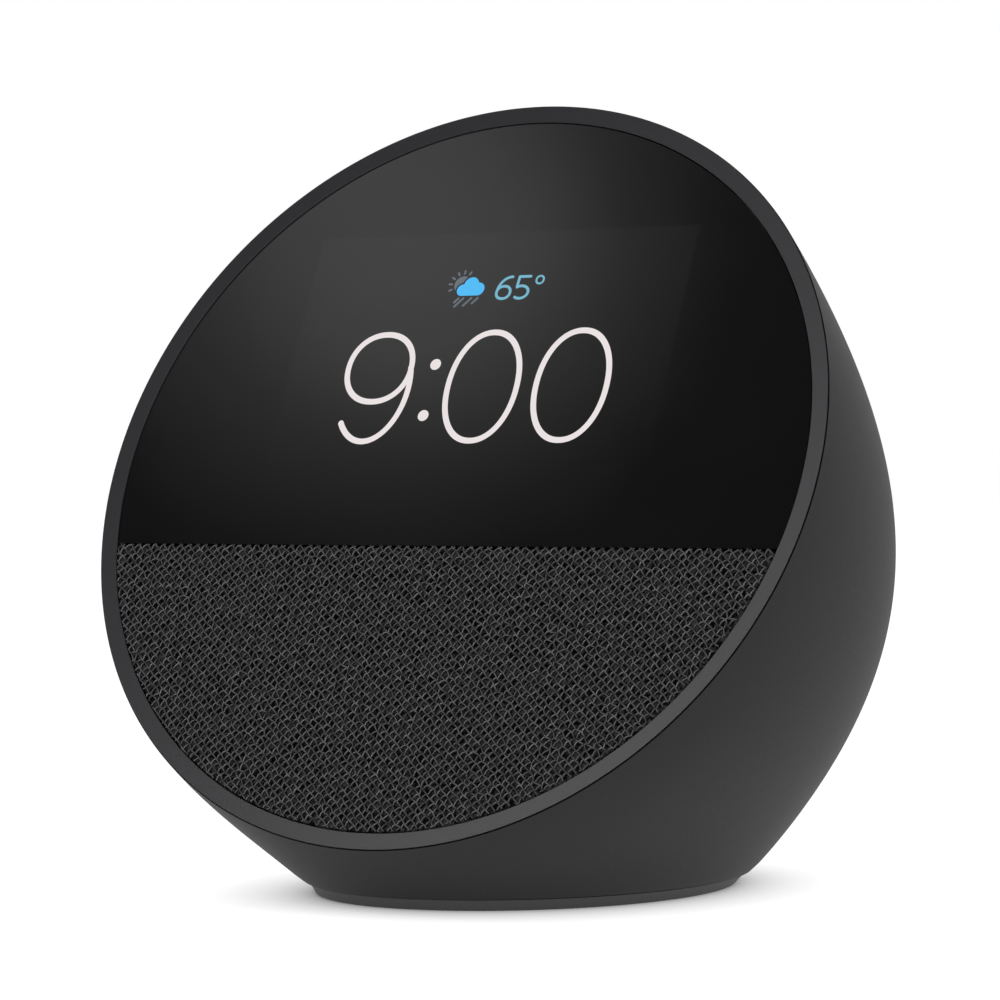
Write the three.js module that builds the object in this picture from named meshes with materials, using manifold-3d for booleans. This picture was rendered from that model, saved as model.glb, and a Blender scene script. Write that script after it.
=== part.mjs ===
// A round bedside smart display, in millimetres.
// +X is the object's left-to-right as seen from the front, +Y points to the back, +Z is up.
// The origin is on the floor, at the centre of the object's footprint box.
// The face leans back. Everything mounted on it is drawn in a face frame whose origin is the
// centre of the round face, with x to the right, y up the face and z out of the front.

import * as THREE from 'three';
import { LoftGeometry } from 'three/addons/geometries/LoftGeometry.js';
import { mergeVertices } from 'three/addons/utils/BufferGeometryUtils.js';
import Module from 'manifold-3d';

const wasm = await Module();
wasm.setup();

// ---- Driving dimensions -------------------------------------------------------------------

const WIDTH = 113;
const DEPTH = 103;
const HEIGHT = 111;
const TILT = THREE.MathUtils.degToRad(25);
const GAP = 0.3;
const WALL = 2.4;

const FACE_RADIUS = WIDTH / 2;
const FACE_Y = FACE_RADIUS * Math.sin(TILT) - DEPTH / 2;
const FACE_Z = HEIGHT - FACE_RADIUS * Math.cos(TILT);

// Lower end of the housing, an oval that is longer front to back.
const BASE = { halfWidth: 28.9, halfLength: 38.5, y: -4.8, z: 1.6 };
// Handles of the curve that the housing follows from the top of the face to the back of the base.
const CROWN_HANDLE = { length: 54, slope: THREE.MathUtils.degToRad(34.4) };
const HEEL_HANDLE = { length: 60.3, slope: THREE.MathUtils.degToRad(49) };
// How the half width narrows from the face to the base.
const NARROWING = { late: 1.93, round: 0.85 };
const FORM_ROWS = 12;
const FORM_COLUMNS = 48;

const RING = { inner: 54.1, front: 0.15, bevelFoot: 54.5, ledge: -2.1, ledgeInner: 52.8, back: -4.2 };
const GLASS_THICKNESS = 1.8;
const FABRIC_THICKNESS = 0.6;
const LENS_RADIUS = RING.inner - GAP;
// Where the glass ends and the cloth begins, measured up the face from its centre.
const SPLIT_Y = -12.3;

const CHASSIS = { radius: 52.3, front: -2.1, back: -4.5 };
const SCREEN = { width: 61.2, height: 46, y: 13.2 };
const SPEAKER = { radius: 22, y: -30.5, flange: -9.2, earX: 25.5 };
const DECK = { radius: 23.4, hole: 19.2, throat: 21.4, front: -6.2, back: -7.8 };
const BOARD = { width: 60, height: 42, y: 15, front: -14.2, back: -15.8, screwX: 27, screwY: 18 };
const SPREADER = { front: -20.2, back: -21.7 };

const BUTTON = { radius: 4.1, spacing: 13, proud: 0.4, flange: -5.8, travel: 0.5 };
const BUTTON_BOARD = { width: 60, depth: 12, top: -12.2, bottom: -13.4, screwX: 26.5, micX: 20 };
// How far along the crown curve the buttons sit.
const BUTTON_PLACE = 0.112;

const INLET = { z: 19.5, face: 37.6, recess: 5.4, collar: 7.2, length: 14.2 };
const FOOT = { halfWidth: 27.4, halfLength: 36, y: -5.9, innerWidth: 19, innerLength: 27.6, height: 1.3 };
const BASE_PLATE = { halfWidth: 26.3, halfLength: 35.9, bottom: 1.6, top: 3.8 };

const CHASSIS_SCREWS = [[44.9, 12], [-44.9, 12], [36.9, -29.9], [-36.9, -29.9]];
const BASE_SCREWS = [[19.5, -22.5], [-19.5, -22.5], [0, 25.5]];

// ---- Materials ----------------------------------------------------------------------------

function material(color, roughness, metalness = 0) {
  return new THREE.MeshStandardMaterial({ color, roughness, metalness });
}

const charcoalPlastic = () => material(0x343538, 0.55);
const blackPlastic = () => material(0x151517, 0.6);
const blackGlass = () => material(0x0b0b0c, 0.08);
const charcoalCloth = () => material(0x2d2d2f, 0.95);
const rubber = () => material(0x242426, 0.9);
const foam = () => material(0x1b1b1c, 1);
const steel = () => material(0x9a9c9f, 0.4, 1);
const aluminium = () => material(0xb9bcc0, 0.45, 1);
const ferrite = () => material(0x3c3c40, 0.6, 0.2);
const copper = () => material(0xb87333, 0.35, 1);
const brass = () => material(0xc9a24b, 0.35, 1);
const paper = () => material(0x1e1e20, 0.85);
const laminate = () => material(0x14432c, 0.5);
const polyimide = () => material(0xa8641c, 0.45);
const ceramic = () => material(0x1a1a1c, 0.4);
const diffuserFilm = () => material(0xe6e6e2, 0.7);
const resinCloth = () => material(0x8a6a3c, 0.9);
const greyPlastic = () => material(0x8c8f93, 0.5);

// ---- Geometry helpers ---------------------------------------------------------------------

// A closed geometry as a solid that can be joined and cut. Triangles that shrink to nothing on a
// turned shape's axis are left out.
function solid(geometry) {
  const bare = new THREE.BufferGeometry();
  bare.setAttribute('position', geometry.attributes.position);
  bare.setIndex(geometry.index);
  const merged = mergeVertices(bare);
  const corners = merged.index.array;
  const triangles = [];
  for (let i = 0; i < corners.length; i += 3) {
    const [a, b, c] = corners.subarray(i, i + 3);
    if (a !== b && b !== c && c !== a) triangles.push(a, b, c);
  }
  return new wasm.Manifold(new wasm.Mesh({
    numProp: 3,
    vertProperties: new Float32Array(merged.attributes.position.array),
    triVerts: new Uint32Array(triangles),
  }));
}

// A solid back as a geometry.
function shell(body) {
  const mesh = body.getMesh();
  const geometry = new THREE.BufferGeometry();
  geometry.setAttribute('position', new THREE.BufferAttribute(new Float32Array(mesh.vertProperties), 3));
  geometry.setIndex(new THREE.BufferAttribute(new Uint32Array(mesh.triVerts), 1));
  geometry.computeVertexNormals();
  return geometry;
}

const join = (first, ...others) => others.reduce((whole, other) => whole.add(solid(other)), solid(first));
const cut = (body, ...tools) => tools.reduce((rest, tool) => rest.subtract(solid(tool)), body);

// A block that spans the given heights, centred on x and y.
function block(width, length, bottom, top, x = 0, y = 0) {
  return new THREE.BoxGeometry(width, length, top - bottom).translate(x, y, (bottom + top) / 2);
}

// A round bar along z.
function bar(radius, bottom, top, x = 0, y = 0, sides = 12) {
  return new THREE.CylinderGeometry(radius, radius, top - bottom, sides)
    .rotateX(Math.PI / 2)
    .translate(x, y, (bottom + top) / 2);
}

// A profile of [radius, height] corners turned about z.
function turned(profile, sides = 32, x = 0, y = 0) {
  const corners = profile.map(([radius, height]) => new THREE.Vector2(radius, height));
  const area = THREE.ShapeUtils.area(corners);
  const upwards = area < 0 ? corners.reverse() : corners;
  const onAxis = upwards.some((corner) => corner.x === 0);
  while (onAxis && upwards[0].x !== 0) upwards.push(upwards.shift());
  while (onAxis && upwards[upwards.length - 1].x !== 0) upwards.unshift(upwards.pop());
  if (!onAxis) upwards.push(upwards[0].clone());
  return new THREE.LatheGeometry(upwards, sides).rotateX(Math.PI / 2).translate(x, y, 0);
}

// A flat outline made thick from bottom to top.
function plate(outline, bottom, top, curveSegments = 24) {
  return new THREE.ExtrudeGeometry(outline, { depth: top - bottom, bevelEnabled: false, curveSegments })
    .translate(0, 0, bottom);
}

function oval(halfWidth, halfLength, y = 0) {
  return new THREE.Shape().absellipse(0, y, halfWidth, halfLength, 0, 2 * Math.PI);
}

// A round lead through the given points.
function lead(points, radius) {
  const path = new THREE.CatmullRomCurve3(points.map((point) => new THREE.Vector3(...point)));
  const section = new THREE.Shape().absarc(0, 0, radius, 0, 2 * Math.PI);
  return new THREE.ExtrudeGeometry(section, { steps: 10, curveSegments: 4, extrudePath: path });
}

// A flat ribbon that bends in the y-z plane, through [y, z] points.
function ribbon(points, width, thickness, x) {
  const path = new THREE.SplineCurve(points.map(([y, z]) => new THREE.Vector2(y, z)));
  const sections = [];
  const steps = 12;
  for (let i = 0; i <= steps; i += 1) {
    const point = path.getPoint(i / steps);
    const along = path.getTangent(i / steps);
    const side = new THREE.Vector2(along.y, -along.x).multiplyScalar(thickness / 2);
    const corners = [[-1, -1], [1, -1], [1, 1], [-1, 1]];
    sections.push(corners.map(([across, over]) => new THREE.Vector3(
      x + across * width / 2,
      point.x + over * side.x,
      point.y + over * side.y,
    )));
  }
  return new LoftGeometry(sections, { capStart: true, capEnd: true });
}

// A screw with its head's top at z = 0 and its point downwards.
function screw(headRadius, headHeight, shankRadius, length) {
  return turned([
    [0, 0],
    [headRadius * 0.7, 0],
    [headRadius, -headHeight * 0.4],
    [headRadius, -headHeight],
    [shankRadius, -headHeight],
    [shankRadius, -length + shankRadius],
    [0, -length],
  ], 8);
}

// ---- Frames -------------------------------------------------------------------------------

const display = new THREE.Group();

const face = new THREE.Group();
face.position.set(0, FACE_Y, FACE_Z);
face.rotation.x = Math.PI / 2 - TILT;
face.updateMatrix();
display.add(face);

function addPart(parent, name, geometry, finish, place = [0, 0, 0]) {
  const mesh = new THREE.Mesh(geometry, finish);
  mesh.name = name;
  mesh.position.set(...place);
  parent.add(mesh);
  return mesh;
}

const onFace = (geometry) => geometry.applyMatrix4(face.matrix);

// ---- Housing form -------------------------------------------------------------------------

const faceUp = new THREE.Vector2(Math.sin(TILT), Math.cos(TILT));
const faceCentre = new THREE.Vector2(FACE_Y, FACE_Z);
const rimTop = faceCentre.clone().addScaledVector(faceUp, FACE_RADIUS);
const rimBottom = faceCentre.clone().addScaledVector(faceUp, -FACE_RADIUS);
const baseBack = new THREE.Vector2(BASE.y + BASE.halfLength, BASE.z);
const baseFront = new THREE.Vector2(BASE.y - BASE.halfLength, BASE.z);

// The two rails that the housing's sections hang between, as curves of (y, z).
const backRail = new THREE.CubicBezierCurve(
  rimTop,
  rimTop.clone().add(new THREE.Vector2(
    CROWN_HANDLE.length * Math.cos(CROWN_HANDLE.slope),
    -CROWN_HANDLE.length * Math.sin(CROWN_HANDLE.slope),
  )),
  baseBack.clone().add(new THREE.Vector2(
    HEEL_HANDLE.length * Math.cos(HEEL_HANDLE.slope),
    HEEL_HANDLE.length * Math.sin(HEEL_HANDLE.slope),
  )),
  baseBack,
);
const frontRail = new THREE.LineCurve(rimBottom, baseFront);

// A point of the housing's outside. t runs from the face to the base, and turn runs round the
// section from the back rail.
function skinPoint(t, turn) {
  const back = backRail.getPoint(t);
  const front = frontRail.getPoint(t);
  const narrow = (1 - t ** NARROWING.late) ** NARROWING.round;
  const halfWidth = BASE.halfWidth + (FACE_RADIUS - BASE.halfWidth) * narrow;
  const toBack = (1 + Math.cos(turn)) / 2;
  return new THREE.Vector3(
    halfWidth * Math.sin(turn),
    THREE.MathUtils.lerp(front.x, back.x, toBack),
    THREE.MathUtils.lerp(front.y, back.y, toBack),
  );
}

function skinNormal(t, turn) {
  const step = 0.01;
  const start = Math.min(Math.max(t, step), 1 - 2 * step);
  const along = skinPoint(start + step, turn).sub(skinPoint(start - step, turn));
  const round = skinPoint(start, turn + step).sub(skinPoint(start, turn - step));
  return new THREE.Vector3().crossVectors(round, along).normalize();
}

// Sections of the form, moved inwards by inset and run on past both ends by overrun.
function formSections(inset, overrun, rows, columns) {
  const sections = [];
  for (let row = 0; row <= rows; row += 1) {
    const t = row / rows;
    const section = [];
    for (let column = 0; column < columns; column += 1) {
      const turn = 2 * Math.PI * column / columns;
      section.push(skinPoint(t, turn).addScaledVector(skinNormal(t, turn), -inset));
    }
    sections.push(section);
  }
  if (overrun > 0) {
    const forward = new THREE.Vector3(0, -Math.cos(TILT), Math.sin(TILT)).multiplyScalar(overrun);
    const down = new THREE.Vector3(0, 0, -overrun);
    sections.unshift(sections[0].map((point) => point.clone().add(forward)));
    sections.push(sections[sections.length - 1].map((point) => point.clone().add(down)));
  }
  return sections;
}

function form(inset, overrun) {
  const sections = formSections(inset, overrun, FORM_ROWS, FORM_COLUMNS);
  return new LoftGeometry(sections, { capStart: true, capEnd: true });
}

// ---- Button frame -------------------------------------------------------------------------

// The buttons sit behind the top of the rim, on an axis square to the crown curve.
const crownPoint = backRail.getPoint(BUTTON_PLACE);
const crownTangent = backRail.getTangent(BUTTON_PLACE);
const crown = new THREE.Group();
crown.position.set(0, crownPoint.x, crownPoint.y);
crown.rotation.x = Math.atan2(crownTangent.y, crownTangent.x);
crown.updateMatrix();
display.add(crown);

const onCrown = (geometry) => geometry.applyMatrix4(crown.matrix);

// ---- Housing ------------------------------------------------------------------------------

// A post that a screw bites into, tied to the wall by a rib.
function post(radius, bottom, top, x, y, reach) {
  const angle = Math.atan2(y, x);
  const rib = block(reach, 3, bottom, top).translate(reach / 2, 0, 0).rotateZ(angle).translate(x, y, 0);
  return join(bar(radius, bottom, top, x, y), rib);
}

function housingPosts() {
  const sidePosts = CHASSIS_SCREWS.map(([x, y]) => {
    return post(3.4, -19, -7.5, x, y, 14).transform(face.matrix.elements);
  });
  const basePosts = BASE_SCREWS.map(([x, y]) => post(3.2, 5.9, 11.4, x, y, 20));
  const boardPosts = [-1, 1].map((side) => solid(onCrown(
    bar(2.6, BUTTON_BOARD.top + GAP, 0, side * BUTTON_BOARD.screwX, 0),
  )));
  const collar = solid(new THREE.CylinderGeometry(INLET.collar, INLET.collar, 14, 32)
    .translate(0, INLET.face + GAP + 7, INLET.z));
  return [...sidePosts, ...basePosts, ...boardPosts, collar];
}

function housingHoles() {
  const screwHoles = [
    ...CHASSIS_SCREWS.map(([x, y]) => onFace(bar(1.45, -15.6, -7, x, y))),
    ...BASE_SCREWS.map(([x, y]) => bar(1.45, 5, 10.8, x, y)),
    ...[-1, 1].map((side) => onCrown(bar(1.2, -12.5, -7.5, side * BUTTON_BOARD.screwX, 0))),
  ];
  const buttonHoles = [-1, 0, 1].map((place) => onCrown(
    bar(BUTTON.radius + GAP, -8, 4, place * BUTTON.spacing, 0, 24),
  ));
  const soundHoles = [-1, 1].map((side) => onCrown(bar(0.6, -10, 4, side * BUTTON_BOARD.micX, 0, 8)));
  const inletBore = new THREE.CylinderGeometry(INLET.recess, INLET.recess, 30, 32)
    .translate(0, INLET.face + 14, INLET.z);
  return [...screwHoles, ...buttonHoles, ...soundHoles, inletBore];
}

// The rim's inner edge is bevelled and stepped back to take the bezel ring.
function rimCutter() {
  const lipRadius = RING.bevelFoot + GAP;
  const bevel = FACE_RADIUS - lipRadius;
  return onFace(turned([
    [0, 6],
    [FACE_RADIUS + 6, 6],
    [FACE_RADIUS, 0],
    [lipRadius, -bevel],
    [lipRadius, RING.back - GAP],
    [0, RING.back - GAP],
  ], 48));
}

function housing() {
  const outside = solid(form(0, 0));
  const hollow = solid(form(WALL, 6));
  const middleOfWall = solid(form(WALL / 2, 0));
  const posts = housingPosts().reduce((all, one) => all.add(one)).intersect(middleOfWall);
  return shell(cut(outside.subtract(hollow).add(posts), rimCutter(), ...housingHoles()));
}

addPart(display, 'housing', housing(), charcoalPlastic());

// ---- Front of the face --------------------------------------------------------------------

function bezelRing() {
  const bevel = FACE_RADIUS - GAP - RING.bevelFoot;
  return turned([
    [RING.inner, RING.front],
    [FACE_RADIUS - GAP, RING.front],
    [RING.bevelFoot, RING.front - bevel],
    [RING.bevelFoot, RING.back],
    [RING.ledgeInner, RING.back],
    [RING.ledgeInner, RING.ledge],
    [RING.inner, RING.ledge],
  ], 60);
}

// The part of a disc above (or below) a straight line across it.
function discSegment(radius, lineY, above) {
  const angle = Math.asin(lineY / radius);
  const outline = new THREE.Shape();
  if (above) outline.absarc(0, 0, radius, angle, Math.PI - angle, false);
  else outline.absarc(0, 0, radius, angle, -Math.PI - angle, true);
  return outline;
}

// Hexagonal sound holes in staggered rows, kept clear of the plate's edge.
function soundHoleCentres(plateRadius, topY) {
  const pitch = 5.2;
  const rowPitch = pitch * Math.sqrt(3) / 2;
  const centres = [];
  for (let row = 0; topY - 3 - row * rowPitch > -plateRadius; row += 1) {
    const y = topY - 3 - row * rowPitch;
    const shift = row % 2 ? pitch / 2 : 0;
    for (let column = -8; column <= 8; column += 1) {
      const x = column * pitch + shift;
      if (Math.hypot(x, y - SPEAKER.y) < DECK.hole - 1 && Math.hypot(x, y) < plateRadius - 3) {
        centres.push([x, y]);
      }
    }
  }
  return centres;
}

function grillePlate() {
  const topY = SPLIT_Y - GAP / 2;
  const sheet = plate(discSegment(LENS_RADIUS, topY, false), -GLASS_THICKNESS, -FABRIC_THICKNESS - GAP, 40);
  const holes = soundHoleCentres(LENS_RADIUS, topY).map(([x, y]) => bar(1.7, -3, 0, x, y, 6));
  return shell(cut(solid(sheet), ...holes));
}

function coverGlass() {
  return plate(discSegment(LENS_RADIUS, SPLIT_Y + GAP / 2, true), -GLASS_THICKNESS, 0, 40);
}

function speakerFabric() {
  return plate(discSegment(LENS_RADIUS, SPLIT_Y - GAP / 2, false), -FABRIC_THICKNESS, 0, 40);
}

addPart(face, 'bezel_ring', bezelRing(), charcoalPlastic());
addPart(face, 'cover_glass', coverGlass(), blackGlass());
addPart(face, 'speaker_fabric', speakerFabric(), charcoalCloth());
addPart(face, 'grille_plate', grillePlate(), blackPlastic());

// ---- Front chassis ------------------------------------------------------------------------

// The plate that carries the screen, the speaker and the main board, and screws to the housing.
function frontChassis() {
  const pocket = { width: SCREEN.width + 3, height: SCREEN.height + 3, floor: -6.8, back: DECK.back };
  const disc = bar(CHASSIS.radius, CHASSIS.back, CHASSIS.front, 0, 0, 48);
  const speakerDeck = bar(DECK.radius, DECK.back, CHASSIS.back, 0, SPEAKER.y, 32);
  const ears = [-1, 1].map((side) => bar(3.6, DECK.back, CHASSIS.back, side * SPEAKER.earX, SPEAKER.y));
  const bosses = CHASSIS_SCREWS.map(([x, y]) => bar(4.2, -7.2, CHASSIS.back, x, y));
  const pocketWall = block(pocket.width + 3, pocket.height + 3, pocket.back, CHASSIS.front, 0, SCREEN.y);
  const boardPosts = boardCorners().map(([x, y]) => bar(2.6, BOARD.front + GAP, pocket.floor, x, y));
  const body = cut(
    join(disc, speakerDeck, ...ears, ...bosses),
    bar(DECK.throat, DECK.front, 0, 0, SPEAKER.y, 32),
    bar(DECK.hole, DECK.back - 1, 0, 0, SPEAKER.y, 32),
  );
  const whole = [pocketWall, ...boardPosts].reduce((all, one) => all.add(solid(one)), body);
  return shell(cut(
    whole,
    block(pocket.width, pocket.height, pocket.floor, 0, 0, SCREEN.y),
    block(46, 32, pocket.back - 1, 0, 0, SCREEN.y + 1),
    ...CHASSIS_SCREWS.map(([x, y]) => bar(2.9, -4.8, 0, x, y)),
    ...CHASSIS_SCREWS.map(([x, y]) => bar(1.45, -8, 0, x, y)),
    ...[-1, 1].map((side) => bar(1.2, DECK.back - 1, -5, side * SPEAKER.earX, SPEAKER.y)),
    ...boardCorners().map(([x, y]) => bar(1.2, BOARD.front, -10, x, y)),
  ));
}

function boardCorners() {
  const corners = [[1, 1], [-1, -1], [1, -1], [-1, 1]];
  return corners.map(([x, y]) => [x * BOARD.screwX, BOARD.y + y * BOARD.screwY]);
}

addPart(face, 'front_chassis', frontChassis(), blackPlastic());

CHASSIS_SCREWS.forEach(([x, y], index) => {
  addPart(face, `chassis_screw_${index + 1}`, screw(2.6, 1.5, 1.15, 12), steel(), [x, y, -3]);
});

// ---- Screen -------------------------------------------------------------------------------

const LCD = { front: -2.1, back: -3.5 };
const BACKLIGHT = { front: -3.8, back: -5.6 };
const TRAY = { floor: -5.9, back: -6.4, wall: 0.5 };

function displayTray() {
  const inside = { width: SCREEN.width + 2 * GAP, height: SCREEN.height + 2 * GAP };
  const outer = block(inside.width + 2 * TRAY.wall, inside.height + 2 * TRAY.wall, TRAY.back, LCD.back);
  const window = block(14, 4, TRAY.back - 1, 0, 0, -14);
  return shell(cut(solid(outer), block(inside.width, inside.height, TRAY.floor, 0), window));
}

const screenLayer = (layer) => block(SCREEN.width, SCREEN.height, layer.back, layer.front, 0, SCREEN.y);

addPart(face, 'lcd_panel', screenLayer(LCD), blackGlass());
addPart(face, 'backlight', screenLayer(BACKLIGHT), diffuserFilm());
addPart(face, 'display_tray', displayTray(), steel(), [0, SCREEN.y, 0]);
addPart(
  face,
  'display_flex',
  ribbon([[-1, -6.9], [5, -7.6], [10, -10.4], [6, -13.2]], 12, 0.25, 0),
  polyimide(),
);

// ---- Speaker ------------------------------------------------------------------------------

// The driver is drawn with its flange's front at z = 0, on the speaker's own axis.
const driver = new THREE.Group();
driver.position.set(0, SPEAKER.y, SPEAKER.flange);
face.add(driver);

function speakerBasket() {
  const bowl = turned([
    [18.8, 0],
    [SPEAKER.radius, 0],
    [SPEAKER.radius, -1.2],
    [19.9, -1.2],
    [18.4, -7.5],
    [15.5, -11],
    [15.5, -12.2],
    [9.6, -12.2],
    [9.6, -11.2],
    [14.7, -11.2],
    [17.5, -7.2],
    [18.8, -1.4],
  ]);
  const ears = [-1, 1].map((side) => cut(
    solid(bar(3, -1.2, 0, side * SPEAKER.earX, 0)),
    bar(1.2, -2, 1, side * SPEAKER.earX, 0),
  ));
  const bridges = [-1, 1].map((side) => solid(block(5, 4, -1.2, 0, side * (SPEAKER.radius - 0.5), 0)));
  const windows = [45, 135, 225, 315].map((degrees) => block(30, 9, -9.5, -2.6)
    .translate(22, 0, 0)
    .rotateZ(THREE.MathUtils.degToRad(degrees)));
  const frame = [...ears, ...bridges].reduce((all, one) => all.add(one), solid(bowl));
  return shell(cut(frame, ...windows, bar(1.2, -2, 1, SPEAKER.earX, 0), bar(1.2, -2, 1, -SPEAKER.earX, 0)));
}

// A half roll of rubber between the cone's edge and the basket.
function surround() {
  const middle = 16.9;
  const thickness = 0.4;
  const outside = [];
  const inside = [];
  const steps = 4;
  for (let i = 0; i <= steps; i += 1) {
    const angle = Math.PI * i / steps;
    outside.push([middle - 1.3 * Math.cos(angle), -0.2 + 1.3 * Math.sin(angle)]);
    inside.push([middle - (1.3 - thickness) * Math.cos(angle), -0.2 + (1.3 - thickness) * Math.sin(angle)]);
  }
  return turned([
    [15.1, -0.2],
    ...outside,
    [18.5, -0.2],
    [18.5, -0.2 - thickness],
    ...inside.reverse(),
    [15.1, -0.2 - thickness],
  ]);
}

function cone() {
  return turned([[14.9, -0.9], [15.6, -0.9], [15.6, -1.2], [8.7, -6.8], [8.4, -6.8], [8.4, -6.2]]);
}

function dustCap() {
  const profile = [];
  const inside = [];
  const steps = 4;
  for (let i = 0; i <= steps; i += 1) {
    const share = i / steps;
    const lift = 2 * (1 - share * share);
    profile.push([7.9 * share, -5.9 + lift]);
    inside.push([7.5 * share, -6.3 + lift]);
  }
  return turned([...profile, ...inside.reverse()], 24);
}

// Rings of [inner radius, outer radius, bottom, top].
function ring(inner, outer, bottom, top, sides = 24) {
  return turned([[inner, bottom], [outer, bottom], [outer, top], [inner, top]], sides);
}

function spider() {
  return turned([
    [8.4, -9.4], [10.2, -9.4], [11.1, -9.9], [12.3, -9.4], [13.2, -9.9], [14.2, -9.4], [15.6, -9.4],
    [15.6, -9.1], [14.2, -9.1], [13.2, -9.6], [12.3, -9.1], [11.1, -9.6], [10.2, -9.1], [8.4, -9.1],
  ], 24);
}

function yoke() {
  return turned([[0, -12.6], [7.2, -12.6], [7.2, -19.6], [15.5, -19.6], [15.5, -21.6], [0, -21.6]], 24);
}

addPart(driver, 'speaker_gasket', ring(19.4, 22, 0.3, 1.1), foam());
addPart(driver, 'speaker_basket', speakerBasket(), blackPlastic());
addPart(driver, 'speaker_surround', surround(), rubber());
addPart(driver, 'speaker_cone', cone(), paper());
addPart(driver, 'dust_cap', dustCap(), paper());
addPart(driver, 'voice_coil', ring(7.6, 8.1, -13.6, -6.8), copper());
addPart(driver, 'speaker_spider', spider(), resinCloth());
addPart(driver, 'top_plate', ring(8.7, 15, -15, -12.5), steel());
addPart(driver, 'speaker_magnet', ring(10, 16.5, -19.3, -15.3), ferrite());
addPart(driver, 'speaker_yoke', yoke(), steel());

[-1, 1].forEach((side, index) => {
  const mesh = addPart(
    driver,
    `speaker_screw_${index + 1}`,
    screw(2.2, 1.3, 0.9, 6),
    steel(),
    [side * SPEAKER.earX, 0, -2.8],
  );
  mesh.rotation.x = Math.PI;
});

addPart(
  face,
  'speaker_lead',
  lead([[-13, -17, -19], [-15, -12, -19.4], [-16, -7.5, -18.7], [-16, -3, -18.2]], 0.8),
  rubber(),
);

// ---- Main board ---------------------------------------------------------------------------

function mainBoard() {
  const sheet = block(BOARD.width, BOARD.height, BOARD.back, BOARD.front, 0, BOARD.y);
  return shell(cut(solid(sheet), ...boardCorners().map(([x, y]) => bar(1.2, -17, -13, x, y))));
}

// An open-bottomed lid over the processor.
function shieldCan() {
  const back = -18.9;
  const wall = 0.4;
  const top = BOARD.back - GAP;
  return shell(cut(
    solid(block(34, 24, back, top)),
    block(34 - 2 * wall, 24 - 2 * wall, back + wall, top + 1),
  ));
}

// A cooling plate on four legs that stand on the board's corners.
function heatSpreader() {
  const sheet = block(BOARD.width, BOARD.height, SPREADER.back, SPREADER.front, 0, BOARD.y);
  const legs = boardCorners().map(([x, y]) => bar(2.4, SPREADER.front, BOARD.back - GAP, x, y));
  const holes = boardCorners().map(([x, y]) => bar(1.2, SPREADER.back - 1, BOARD.back, x, y));
  return shell(cut(join(sheet, ...legs), ...holes));
}

addPart(face, 'main_board', mainBoard(), laminate());
addPart(face, 'processor', block(14, 14, -17.4, BOARD.back - GAP), ceramic(), [-8, 16, 0]);
addPart(face, 'shield_can', shieldCan(), aluminium(), [-5, 16, 0]);
addPart(face, 'heat_spreader', heatSpreader(), aluminium());

boardCorners().slice(0, 2).forEach(([x, y], index) => {
  const mesh = addPart(
    face,
    `board_screw_${index + 1}`,
    screw(2.2, 1.3, 0.9, 12.8),
    steel(),
    [x, y, SPREADER.back - GAP - 1.3],
  );
  mesh.rotation.x = Math.PI;
});

// ---- Buttons and microphones --------------------------------------------------------------

// A cap cut from a larger copy of the housing's form, so that its top follows the surface.
function buttonCap(x) {
  const stem = join(
    bar(BUTTON.radius, BUTTON.flange, 6, x, 0, 24),
    bar(BUTTON.radius + 1.1, BUTTON.flange - 0.8, BUTTON.flange, x, 0, 24),
    bar(1.5, BUTTON.flange - 1.6, BUTTON.flange, x, 0),
  );
  const lifted = solid(onCrown(new THREE.BoxGeometry(60, 40, 40)))
    .intersect(solid(form(-BUTTON.proud, 0)));
  const toCrown = crown.matrix.clone().invert();
  return shell(stem.transform(crown.matrix.elements).intersect(lifted).transform(toCrown.elements));
}

const SWITCH = { top: -8.7, bottom: -11.9, plungerTop: -7.7, plungerBottom: -9.2 };

// The well under the plunger is deeper than the button's travel.
function switchBody() {
  const well = SWITCH.plungerBottom - BUTTON.travel - 2 * GAP;
  return shell(cut(solid(block(6, 6, SWITCH.bottom, SWITCH.top)), bar(1.5, well, 0)));
}

function buttonBoard() {
  const sheet = block(BUTTON_BOARD.width, BUTTON_BOARD.depth, BUTTON_BOARD.bottom, BUTTON_BOARD.top);
  const holes = [-1, 1].map((side) => bar(1.2, -14, -12, side * BUTTON_BOARD.screwX, 0));
  return shell(cut(solid(sheet), ...holes));
}

const BUTTON_NAMES = ['volume_down', 'mic_mute', 'volume_up'];
BUTTON_NAMES.forEach((name, index) => {
  const x = (index - 1) * BUTTON.spacing;
  addPart(crown, `${name}_button`, buttonCap(x), charcoalPlastic());
  addPart(crown, `${name}_switch`, switchBody(), blackPlastic(), [x, 0, 0]);
  addPart(crown, `${name}_plunger`, bar(1.2, SWITCH.plungerBottom, SWITCH.plungerTop), greyPlastic(), [x, 0, 0]);
});

addPart(crown, 'button_board', buttonBoard(), laminate());

[-1, 1].forEach((side, index) => {
  const hand = ['left', 'right'][index];
  const place = [side * BUTTON_BOARD.micX, 0, 0];
  addPart(crown, `${hand}_microphone`, block(3.8, 3, -11.9, -10.9), aluminium(), place);
  addPart(crown, `${hand}_mic_gasket`, ring(0.9, 2.2, -10.6, -7.6, 16), rubber(), place);
  const mesh = addPart(
    crown,
    `button_board_screw_${index + 1}`,
    screw(1.9, 1.2, 0.9, 5.6),
    steel(),
    [side * BUTTON_BOARD.screwX, 0, BUTTON_BOARD.bottom - GAP - 1.2],
  );
  mesh.rotation.x = Math.PI;
});

addPart(
  face,
  'button_flex',
  ribbon([[38.9, -17.6], [38.6, -15.4], [37.2, -13.5], [34.6, -12.7]], 8, 0.25, -16),
  polyimide(),
);

// ---- Power inlet --------------------------------------------------------------------------

const JACK = { width: 9, bottom: 13.3, top: 24.3, bore: 3.2, boreDepth: 10 };

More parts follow.
